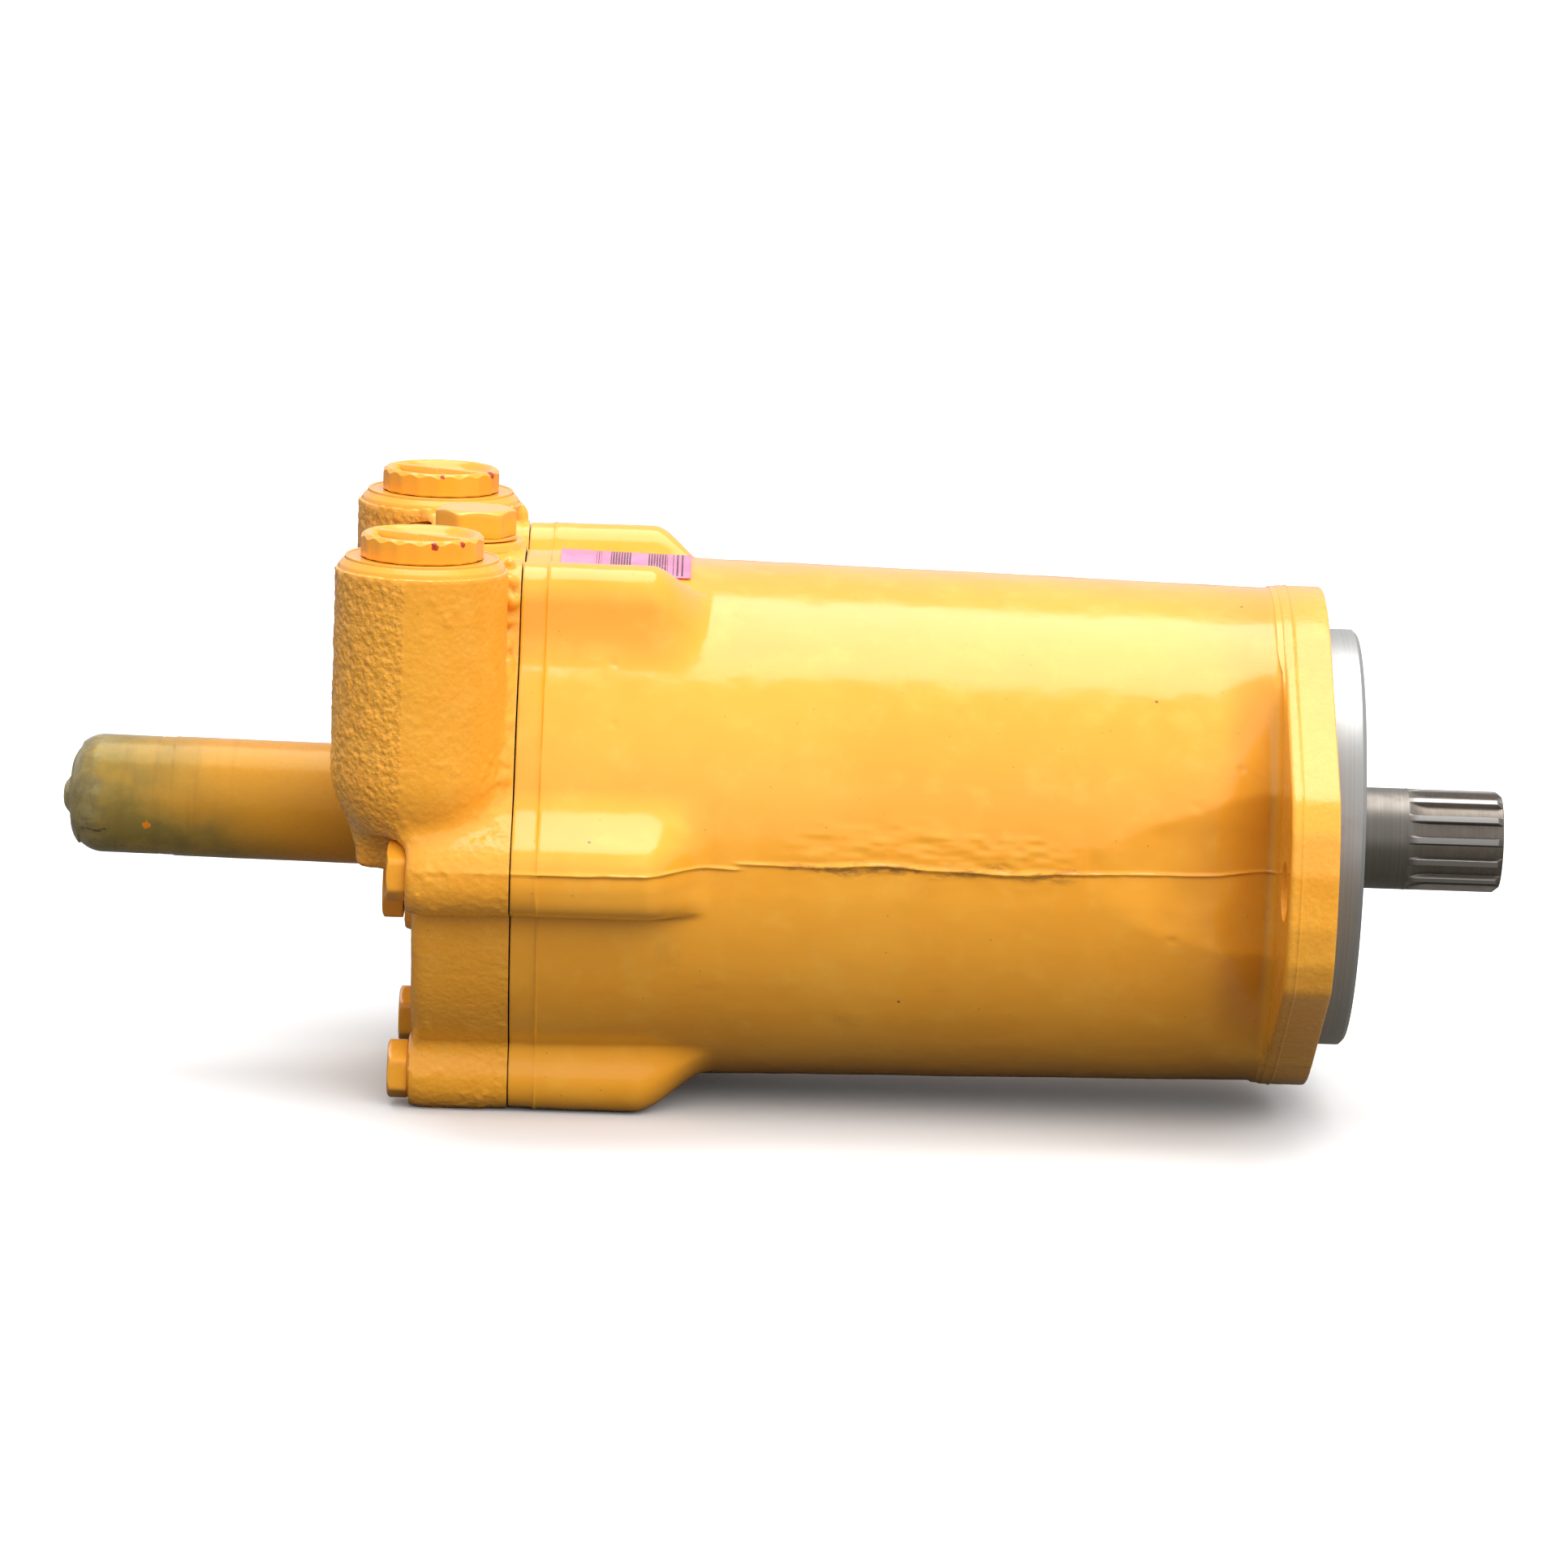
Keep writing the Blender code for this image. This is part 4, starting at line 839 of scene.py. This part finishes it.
cuts = []
for s in (-1, 1):
    prof = [(92.0, 18.0), (87.5, 18.0), (86.9, 17.9), (84.4, 17.9), (83.4, 17.0), (82.4, 16.2)]
    prof += [(h, 16.2) for h in np.arange(82.2, 62.6, -0.3)]
    prof += [(62.0, 16.2), (62.0, 11.0), (61.0, 10.5), (19.0, 10.5)]
    cuts.append(lathe(prof, 96, "Z", (PORT_X, s * PORT_Y, 0), thread_wave(16.2, 0.55, 2.0, 62.8, 82.0, True)))
for y, z in SCREWS:
    spot = 9.9 if z > 50 else 10.6
    cuts.append(lathe([(-300.0, spot), (-271.9, spot), (-271.8, 5.4), (-240.0, 5.4)], 40, "X", (0, y, z)))
cuts += [
    lathe([(-298.0, 15.2), (-276.0, 15.2), (-276.0, 4.0), (-262.0, 4.0), (-262.0, 22.3), (-221.0, 22.3)], 72, "X"),
    lathe([(58.0, 9.4), (80.6, 9.4), (80.6, 11.4), (86.0, 11.4)], 48, "Z", (-257.7, 0, 0)),
    lathe([(-256.0, 6.4), (-272.4, 6.4), (-272.4, 8.2), (-276.5, 8.2)], 40, "X", (0, -36.0, -18.5)),
    lathe([(-230.0, 3.4), (-221.0, 3.4)], 16, "X", (0, 0, 50.0)),
]
boolean(cap, tool("cap_drills", merge(*cuts)), "DIFFERENCE")
fc, fn = face_centres(cap)
idx = np.zeros(len(fc), np.int32)
pr = np.minimum(np.hypot(fc[:, 0] - PORT_X, fc[:, 1] - PORT_Y), np.hypot(fc[:, 0] - PORT_X, fc[:, 1] + PORT_Y))
idx[(pr < 18.2) & (fc[:, 2] > 18.0) & (fc[:, 2] < 87.3)] = 1
lim = np.interp(np.arctan2(fc[:, 2], fc[:, 1]) % (2 * PI), TH, joint_r, period=2 * PI) - 0.4
idx[(fc[:, 0] > -242.35) & (np.hypot(fc[:, 1], fc[:, 2]) < lim)] = 1
idx[(np.hypot(fc[:, 1], fc[:, 2]) < 22.4) & (fc[:, 0] > -287.5) & (fc[:, 0] < -285.0) & (np.hypot(fc[:, 1], fc[:, 2]) < 15.3)] = 1
cap.data.polygons.foreach_set("material_index", idx)
shade(cap, 34.0)
finish(cap, "motor_case", ("end_cap",))


# ---- hexagon heads -------------------------------------------------------------------
def hexagon(t, flat, phase, soft=0.35, n=6):
    """Radius of a regular polygon with softened corners; flat is its half width across flats."""
    d = np.stack([np.cos(t - phase - 2 * PI * (k + 0.5) / n) for k in range(n)])
    k = 34.0 / max(soft, 0.05) / 6.0
    m = np.log(np.sum(np.exp(k * d), 0)) / k
    return flat / m


def head(flat, base, top, phase, washer=None, washer_h=0.0, chamfer=30.0, n=6, seg=240, dish=0.0, core=0.0, shank=(), soft=0.35):
    """Rows (height, radius) of a bolt head with a chamfered top, then a shank below. Heights grow away from the seat."""
    t = np.linspace(0, 2 * PI, seg, endpoint=False)
    rf = hexagon(t, flat, phase, soft, n)
    one = np.ones(seg)
    rows = []
    for h, r in shank:
        rows.append((h * one, r * one))
    if washer:
        rows += [(base * one, (washer - 0.3) * one), ((base + 0.12) * one, washer * one), ((base + washer_h - 0.1) * one, washer * one), ((base + washer_h) * one, (washer - 0.25) * one)]
        b = base + washer_h
    else:
        b = base
    rows += [(b * one, rf - 0.45), ((b + 0.12) * one, rf - 0.12), ((b + 0.4) * one, rf)]
    rc = flat * 0.955
    tan = math.tan(math.radians(chamfer))
    edge = top - np.maximum(rf - rc, 0) * tan
    for u in (0.25, 0.5, 0.75, 0.96):
        rows.append(((b + 0.4) * one + (edge - 0.15 - b - 0.4) * u, rf))
    rows.append((edge - 0.02, rf - 0.10))
    for u in (0.2, 0.5, 0.8):
        rows.append((edge + (top - edge) * u, (rf - 0.10) * (1 - u) + (rc - 0.2) * u))
    rows += [(top * one, (rc - 0.55) * one), (top * one, rc * 0.75 * one), ((top - dish) * one, rc * 0.45 * one), ((top - dish) * one, rc * 0.1 * one)]
    return t, rows


def head_geo(t, rows, axis, at, sign=1):
    c, s = np.cos(t), np.sin(t)
    out = []
    for h, r in rows:
        if axis == "X":
            out.append(np.stack([at[0] + sign * h, at[1] + r * c, at[2] + r * s], -1))
        else:
            out.append(np.stack([at[0] + r * c, at[1] + r * s, at[2] + sign * h], -1))
    return grid(np.stack(out), cap_start=True, cap_end=True)


fastener = paint_mat("fastener_paint_worn", cast=0.10, gloss=0.20, grime_and_crease_shade=0.9)
for i, (y, z) in enumerate(SCREWS):
    turn = (0.0, 0.02, 0.015, -0.03, 0.03, -0.02)[i]
    shank = [(-59.9, 3.6), (-58.5, 5.0), (-30.0, 5.0), (-0.02, 5.0)]
    t, rows = head(8.15, 0.0, 6.6, PI / 2 + turn, washer=8.6, washer_h=0.55, chamfer=28.0, shank=shank, soft=0.30, dish=0.25)
    v, f = head_geo(t, rows, "X", (-271.95, y, z), -1)
    make("cap_bolt_%d" % (i + 1), v, f, fastener, "motor_case", ("cap_screw_%d" % (i + 1),), 30.0)
t, rows = head(11.1, 0.0, 9.05, math.radians(7), washer=12.6, washer_h=0.9, chamfer=30.0, seg=300, dish=0.2,
               shank=[(-17.6, 7.6), (-16.6, 8.9), (-1.0, 8.9), (-0.02, 8.9)], soft=0.30)
v, f = head_geo(t, rows, "Z", (-257.7, 0, 83.65), 1)
make("center_plug_hex", v, f, fastener, "motor_case", ("center_hex_plug",), 30.0)
t, rows = head(8.15, 0.0, 6.5, 0.1, washer=None, chamfer=28.0, shank=[(-12.5, 5.0), (-11.6, 6.0), (-1.0, 6.0), (-0.02, 6.0)], soft=0.30)
v, f = head_geo(t, rows, "X", (-274.95, -36.0, -18.5), -1)
make("rear_plug_hex", v, f, fastener, "motor_case", ("rear_hex_plug",), 30.0)


# ---- port plugs ----------------------------------------------------------------------
def port_plug(label, y, chips):
    at = (PORT_X, y, 0.0)
    seg = 432
    t = np.linspace(0, 2 * PI, seg, endpoint=False)
    one = np.ones(seg)
    n = 18
    rf = hexagon(t, 18.5 * math.cos(PI / n), 0.0, 0.008, n)
    # each of the eighteen facets is hollowed a little
    rf = rf - 0.42 * np.cos(0.5 * n * (((t + PI / n) % (2 * PI / n)) - PI / n)) ** 2
    z0, z1 = PORT_TOP + 0.05, PORT_TOP + 7.2
    rows = []
    inner = rounded([(86.0, 0.01), (86.0, 12.0), (68.4, 12.0), (68.0, 12.4), (68.0, 14.2), (69.0, 15.5)], 0.3, 3)
    for h, r in inner:
        rows.append((h * one, max(r, 0.4) * one))
    hs = np.arange(69.3, 83.6, 0.28)
    for h in hs:
        ph = (h / 2.0 - t / (2 * PI)) % 1.0
        tri = np.clip(np.abs(ph - 0.5) * 2.5 - 0.1, 0, 1)
        fade = min(1.0, (h - 69.2) / 1.4) * min(1.0, max(0.0, (83.4 - h) / 1.4))
        rows.append((h * one, 15.5 - 0.55 * tri * fade))
    rows += [(83.8 * one, 15.5 * one), (z0 - 0.6 + 0 * one, 15.5 * one), (z0 - 0.05 + 0 * one, 15.9 * one), (z0 * one, 16.6 * one), (z0 * one, rf - 0.7), ((z0 + 0.15) * one, rf - 0.2), ((z0 + 0.6) * one, rf)]
    # the wavy top rim: a chamfer cone meeting eighteen flats
    rc = 17.1
    corner = (rf - rf.min()) / max(rf.max() - rf.min(), 1e-6)
    edge = z1 - 0.6 - 0.75 * corner
    for u in (0.3, 0.6, 0.9):
        rows.append(((z0 + 0.6) + (edge - 0.2 - z0 - 0.6) * u, rf))
    rows.append((edge - 0.02, rf - 0.03))
    rows.append((edge + 0.12, rf - 0.16))
    rows.append((edge + (z1 - edge) * 0.5, rf * 0.5 + rc * 0.5))
    rows.append(((z1 - 0.06) * one, rc * one))
    rows.append((z1 * one, (rc - 0.35) * one))
    rows.append(((z1 - 0.04) * one, (rc - 0.85) * one))
    rib_a = math.radians(-28)
    radii = np.concatenate([np.linspace(16.1, 13.2, 8), np.linspace(12.7, 3.0, 22), [2.4, 1.8, 1.2, 0.7, 0.3]])
    for r in radii:
        depth = 2.5 * sstep(16.3, 12.6, r) + 0.35 * sstep(12.6, 2.0, r) - 0.25 * math.exp(-((r - 6.0) / 0.5) ** 2)
        floor = z1 - 0.04 - depth
        across = np.abs(r * np.sin(t - rib_a))
        rib = (z1 - 0.35) - 3.4 * sstep(1.15, 2.1, across)
        rows.append((np.maximum(floor + 0 * one, rib) if r < 15.9 else floor + 0 * one, r * one))
    v, f = head_geo(t, rows, "Z", at, 1)
    p = np.asarray(v)
    keep = p[:, 2] > 87.0
    p[keep, 2] += 0.06 * vnoise(p[keep] / 3.0, 91 if y < 0 else 92)
    mat = paint_mat(label + "_plug_paint_worn", cast=0.06, gloss=0.20, grime_and_crease_shade=0.75, chips=chips)
    plug = make(label + "_plug", p, f, mat, label + "_plug", (label + "_port_plug",), 11.0)
    return plug


RED = (0.42, 0.035, 0.012)
port_plug("near", -PORT_Y, (((-267.0, -87.2, 93.4), 1.3, RED), ((-258.9, -83.0, 93.6), 1.1, RED), ((-281.5, -83.0, 93.8), 0.7, RED)))
port_plug("far", PORT_Y, (((-255.6, 62.0, 93.7), 1.5, RED), ((-270.0, 52.2, 94.0), 0.8, RED)))

rubber = rubber_mat("seal_rubber_black")
for label, y in (("near", -PORT_Y), ("far", PORT_Y)):
    ang = np.linspace(0, 2 * PI, 18, endpoint=False)
    v, f = lathe([(86.1 + 1.1 * math.sin(a), 16.7 + 1.1 * math.cos(a)) for a in ang], 120, "Z", (PORT_X, y, 0), closed=True)
    make(label + "_plug_seal", v, f, rubber, label + "_plug", (label + "_port_o_ring",), 60.0)

# ---- valve tube ----------------------------------------------------------------------
outer = [(-286.6, 14.7), (-286.6, 17.95), (-286.9, 18.2)]
outer += [(x, 18.2) for x in np.arange(-288.5, -298.0, -2.0)]
outer += [(x, 18.2) for x in np.arange(-299.0, -346.0, -2.0)]
outer += [(-346.4, 18.2), (-346.9, 18.17), (-347.3, 18.02), (-347.8, 17.98), (-348.3, 18.02), (-350.6, 18.02), (-350.9, 17.95), (-351.4, 17.95), (-351.7, 18.02)]
outer += [(x, 18.02) for x in np.arange(-353.0, -368.0, -1.5)]
outer += [(-368.5 - 10.0 * math.sin(a), 8.02 + 10.0 * math.cos(a)) for a in np.linspace(0, PI / 2, 16)]
outer += [(-378.62, 7.0), (-378.75, 6.3), (-379.05, 5.6), (-379.5, 5.0), (-380.0, 4.4), (-380.45, 3.7), (-380.8, 2.8), (-380.97, 1.6), (-381.0, 0.3)]
inner = [(-372.0, 0.3), (-372.0, 12.0), (-282.0, 12.0), (-282.0, 14.7)]


def tube_wave(h, r, t):
    p = np.stack([h.ravel(), 18 * np.cos(t).ravel(), 18 * np.sin(t).ravel()], -1)
    n = (0.07 * vnoise(p / 13.0, 101) + 0.03 * vnoise(p / 4.0, 102)).reshape(h.shape)
    # the closed end stands about a millimetre high
    n = n + np.sin(t) * 1.0 * np.clip((-292.0 - h) / 85.0, 0.0, 1.0) * np.clip(r / 15.0, 0.0, 1.0)
    return h, np.where(r > 15.0, r + n, r)


v, f = lathe(list(reversed(inner)) and (inner + outer), 144, "X", (0, 0, 0), tube_wave)
tube_paint = paint_mat("valve_tube_paint_thin", cast=0.16, gloss=0.24, grime_and_crease_shade=0.6, fade=True, chips=(((-354.5, -17.0, -5.5), 1.3, (0.75, 0.22, 0.01)),))
make("valve_tube_shell", v, f, tube_paint, "motor_case", ("valve_tube",), 32.0)

# ---- shaft ---------------------------------------------------------------------------
teeth = 14
seg = teeth * 48
t = np.linspace(0, 2 * PI, seg, endpoint=False)
ph = (((t - 0.281) * teeth / (2 * PI)) + 0.5) % 1.0 - 0.5
# 0 at the middle of a tooth, 0.5 in the middle of a gap; the lands are narrow
gap = sstep(0.125, 0.215, np.abs(ph))
one = np.ones(seg)
rows = []
for x, r in rounded([(-261.3, 0.3), (-261.3, 11.9), (-260.7, 12.5), (-223.0, 12.5), (-223.0, 17.0), (-36.0, 17.0), (-36.0, 17.5), (-6.0, 17.5), (-6.0, 15.45), (27.6, 15.45), (28.0, 15.45)],
                    [0, 0.1, 0.1, 0.1, 0.1, 0.05, 0.05, 0.1, 0.1, 0.1, 0], 2):
    rows.append((x * one, r * one))
for x in (28.25, 28.6):
    rows.append((x * one, (15.5 if x < 28.4 else 15.55) * one))
for x in np.concatenate([np.arange(29.0, 37.0, 0.5), np.arange(37.5, 55.4, 1.6), [55.55, 55.8, 56.2, 56.8, 57.3, 57.6]]):
    run = float(np.clip((x - 28.6) / 8.0, 0, 1))
    root = 15.6 - 1.5 * (1 - (1 - run) ** 2.2)
    r = 15.6 * (1 - gap) + root * gap
    lim = 15.6 - max(0.0, x - 55.6) * 0.82
    rows.append((x * one, np.minimum(r, lim)))
last = rows[-1][1]
for u, x in ((0.06, 57.6), (0.35, 57.6), (0.6, 57.6), (0.78, 57.6)):
    rows.append((x * one, last * (1 - u)))
rows += [(57.3 * one, 2.9 * one), (55.8 * one, 1.2 * one), (55.4 * one, 0.25 * one)]
v, f = head_geo(t, rows, "X", (0, 0, 0), 1)
shaft_steel = metal_mat("shaft_dark_steel", (0.275, 0.245, 0.215), 0.40, True, 0.40, (0.10, 0.08, 0.06), 1500.0, worn=(0.01525, 0.01552, FX + 0.030))
make("output_shaft", v, f, shaft_steel, "rotor", ("drive_shaft",), 24.0)

# ---- shaft seal and retaining ring ---------------------------------------------------
prof = rounded([(6.3, 20.0), (6.3, 25.6), (5.9, 26.0), (-1.7, 26.0), (-1.7, 23.4), (4.0, 23.4), (4.2, 18.4), (0.0, 15.85), (0.6, 15.75), (2.6, 15.75), (5.0, 16.6), (6.3, 18.2), (6.3, 20.0)], 0.35, 3)[:-1]
v, f = lathe(prof, 128, "X", (0, 0, 0), closed=True)
make("shaft_lip_seal", v, f, rubber, "motor_case", ("shaft_seal",), 34.0)
a = np.radians(np.linspace(14, 346, 150))
bulge = 1.9 * (np.exp(-((a - a[0]) / 0.075) ** 2) + np.exp(-((a - a[-1]) / 0.075) ** 2))
ri = 23.9 - bulge
ro = np.full_like(a, 27.7)
loop = [(7.35, 0), (8.85, 0), (8.85, 1), (7.35, 1)]
sect = []
for k in range(len(a)):
    for x, side in ((7.35, 0.02), (7.42, 0.0), (8.78, 0.0), (8.85, 0.02), (8.85, 0.98), (8.78, 1.0), (7.42, 1.0), (7.35, 0.98)):
        r = ri[k] + (ro[k] - ri[k]) * side
        sect.append((x, r * math.cos(a[k]), r * math.sin(a[k])))
m = 8
faces = [[k * m + j, k * m + (j + 1) % m, (k + 1) * m + (j + 1) % m, (k + 1) * m + j] for k in range(len(a) - 1) for j in range(m)]
faces += [list(range(m))[::-1], [(len(a) - 1) * m + j for j in range(m)]]
spring_steel = metal_mat("ring_spring_steel", (0.26, 0.25, 0.25), 0.32, False, 0.3)
make("bore_retaining_ring", np.array(sect), faces, spring_steel, "motor_case", ("seal_retaining_ring",), 34.0)

# ---- label ---------------------------------------------------------------------------
nu, nv = 60, 28
x0, x1, mid_a, half = -231.4, -192.1, math.radians(-2.75), math.radians(12.75)
top, bot = [], []
for i in range(nu + 1):
    for j in range(nv + 1):
        u, q = i / nu, j / nv
        x = x0 + (x1 - x0) * u
        base = 79.6 + (75.3 - 79.6) * (x + 242.0) / 224.0
        lift = 0.45 * (max(0, abs(u - 0.5) * 2 - 0.93) / 0.07) ** 2 * (0.4 + 0.6 * q)
        ang = mid_a + (q - 0.5) * 2 * half
        r = base + 0.40 + lift
        top.append((x, (r + 0.16) * math.sin(ang), (r + 0.16) * math.cos(ang)))
        bot.append((x, r * math.sin(ang), r * math.cos(ang)))
top = np.array(top)
bot = np.array(bot)
wr = 0.06 * vnoise(top / 5.0, 111)
top[:, 2] += wr
bot[:, 2] += wr
n = len(top)
faces = []
for i in range(nu):
    for j in range(nv):
        a0, a1, a2, a3 = i * (nv + 1) + j, (i + 1) * (nv + 1) + j, (i + 1) * (nv + 1) + j + 1, i * (nv + 1) + j + 1
        faces.append([a0, a1, a2, a3])
        faces.append([n + a3, n + a2, n + a1, n + a0])
edge = [i * (nv + 1) for i in range(nu + 1)] + [nu * (nv + 1) + j for j in range(1, nv + 1)] + [i * (nv + 1) + nv for i in range(nu - 1, -1, -1)] + [j for j in range(nv - 1, 0, -1)]
for k in range(len(edge)):
    p0, p1 = edge[k], edge[(k + 1) % len(edge)]
    faces.append([p1, p0, n + p0, n + p1])
make("rating_film", np.concatenate([top, bot]), faces, label_mat("label_pink_film", FX + x0 * MM, FX + x1 * MM), "motor_case", ("data_label",), 40.0)

# ---- parts carried over from the CAD -------------------------------------------------
bright = metal_mat("bearing_bright_steel", (0.60, 0.59, 0.57), 0.20, True, 0.12)
plate_steel = metal_mat("plate_ground_steel", (0.42, 0.41, 0.40), 0.30, False, 0.2)
piston_steel = metal_mat("piston_ground_steel", (0.52, 0.51, 0.50), 0.22, False, 0.15)
bronze = metal_mat("slipper_bronze_alloy", (0.62, 0.36, 0.13), 0.30, False, 0.25, (0.20, 0.10, 0.04))
block_iron = metal_mat("block_cast_iron", (0.24, 0.23, 0.22), 0.42, True, 0.3)
dark_spring = metal_mat("spring_dark_steel", (0.16, 0.155, 0.15), 0.34, False, 0.3)
replaced = set()
for o in bpy.context.scene.objects:
    replaced.update(o.get("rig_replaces", []))
RULES = (
    ("slipper_retainer", plate_steel), ("slipper", bronze), ("piston", piston_steel), ("cylinder_block", block_iron), ("block_spring_washer", dark_spring), ("spring", dark_spring),
    ("o_ring", rubber), ("rollers", bright), ("race", bright), ("ball_guide", bright), ("valve_spool", piston_steel), ("valve_seat", bright),
    ("plate", plate_steel), ("pin", plate_steel), ("ring", dark_spring),
)
for o in list(bpy.context.scene.objects):
    if o.type != "MESH" or "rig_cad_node" not in o or o.hide_render:
        continue
    for key, mat in RULES:
        if key in o.name:
            for k in range(len(o.data.materials)):
                o.data.materials[k] = mat
            if not len(o.data.materials):
                o.data.materials.append(mat)
            break
    else:
        print("no finish rule for", o.name)

# ---- floor, light and camera ---------------------------------------------------------
low = min(b[2] for b in cad_bounds)
me = bpy.data.meshes.new("studio_floor")
me.from_pydata([(-14, -14, 0), (14, -14, 0), (14, 14, 0), (-14, 14, 0)], [], [(0, 1, 2, 3)])
floor = bpy.data.objects.new("studio_floor", me)
floor.location.z = low - 0.0004
g = Graph("floor_pale")
seen = g.nt.nodes.new("ShaderNodeLightPath").outputs["Is Camera Ray"]
pale = g.mix(g.noise(2.0, 3.0), (0.86, 0.86, 0.86), (0.88, 0.88, 0.88))
g.set(Base_Color=g.mix(seen, (0.13, 0.13, 0.12), pale), Roughness=0.9, Specular_IOR_Level=0.0)
me.materials.append(g.mat)
bpy.context.scene.collection.objects.link(floor)

world = bpy.data.worlds.new("studio_white")
world.use_nodes = True
bpy.context.scene.world = world
wn = world.node_tree
bg = next(n for n in wn.nodes if n.type == "BACKGROUND")
bg.inputs[0].default_value = (0.96, 0.98, 1.0, 1.0)
bg.inputs[1].default_value = 0.76


def lamp(name, kind, loc, aim, energy, **kw):
    data = bpy.data.lights.new(name, kind)
    data.energy = energy
    for k, v in kw.items():
        setattr(data, k, v)
    o = bpy.data.objects.new(name, data)
    o.location = loc
    o.rotation_euler = (Vector(aim) - Vector(loc)).to_track_quat("-Z", "Y").to_euler()
    bpy.context.scene.collection.objects.link(o)
    return o


lamp("overhead_soft", "SUN", (0.0, 0.55, 3.0), (0, 0, 0), 1.9, angle=math.radians(52))
key = lamp("front_key", "SUN", (1.0, -2.1, 2.0), (0, 0, 0), 2.4, angle=math.radians(60))
key.visible_glossy = False

view = bpy.context.scene.view_settings
view.view_transform = "Standard"
view.look = "None"

cam_data = bpy.data.cameras.new("photo_camera")
cam_data.sensor_width = 36.0
cam_data.lens = 170.283
cam_data.clip_start = 0.05
cam_data.clip_end = 60.0
cam = bpy.data.objects.new("photo_camera", cam_data)
ex = Vector((0.99936464, -0.00602626, 0.03512835))
ey = Vector((0.03346802, -0.18024794, -0.98305166))
ez = Vector((0.01225593, 0.98360275, -0.17993173))
pos = Vector((FX - 189.31591 * MM, -2226.44448 * MM, 417.89111 * MM))
rot = Matrix((ex, -ey, -ez)).transposed()
cam.matrix_world = Matrix.Translation(pos) @ rot.to_4x4()
bpy.context.scene.collection.objects.link(cam)
bpy.context.scene.camera = cam
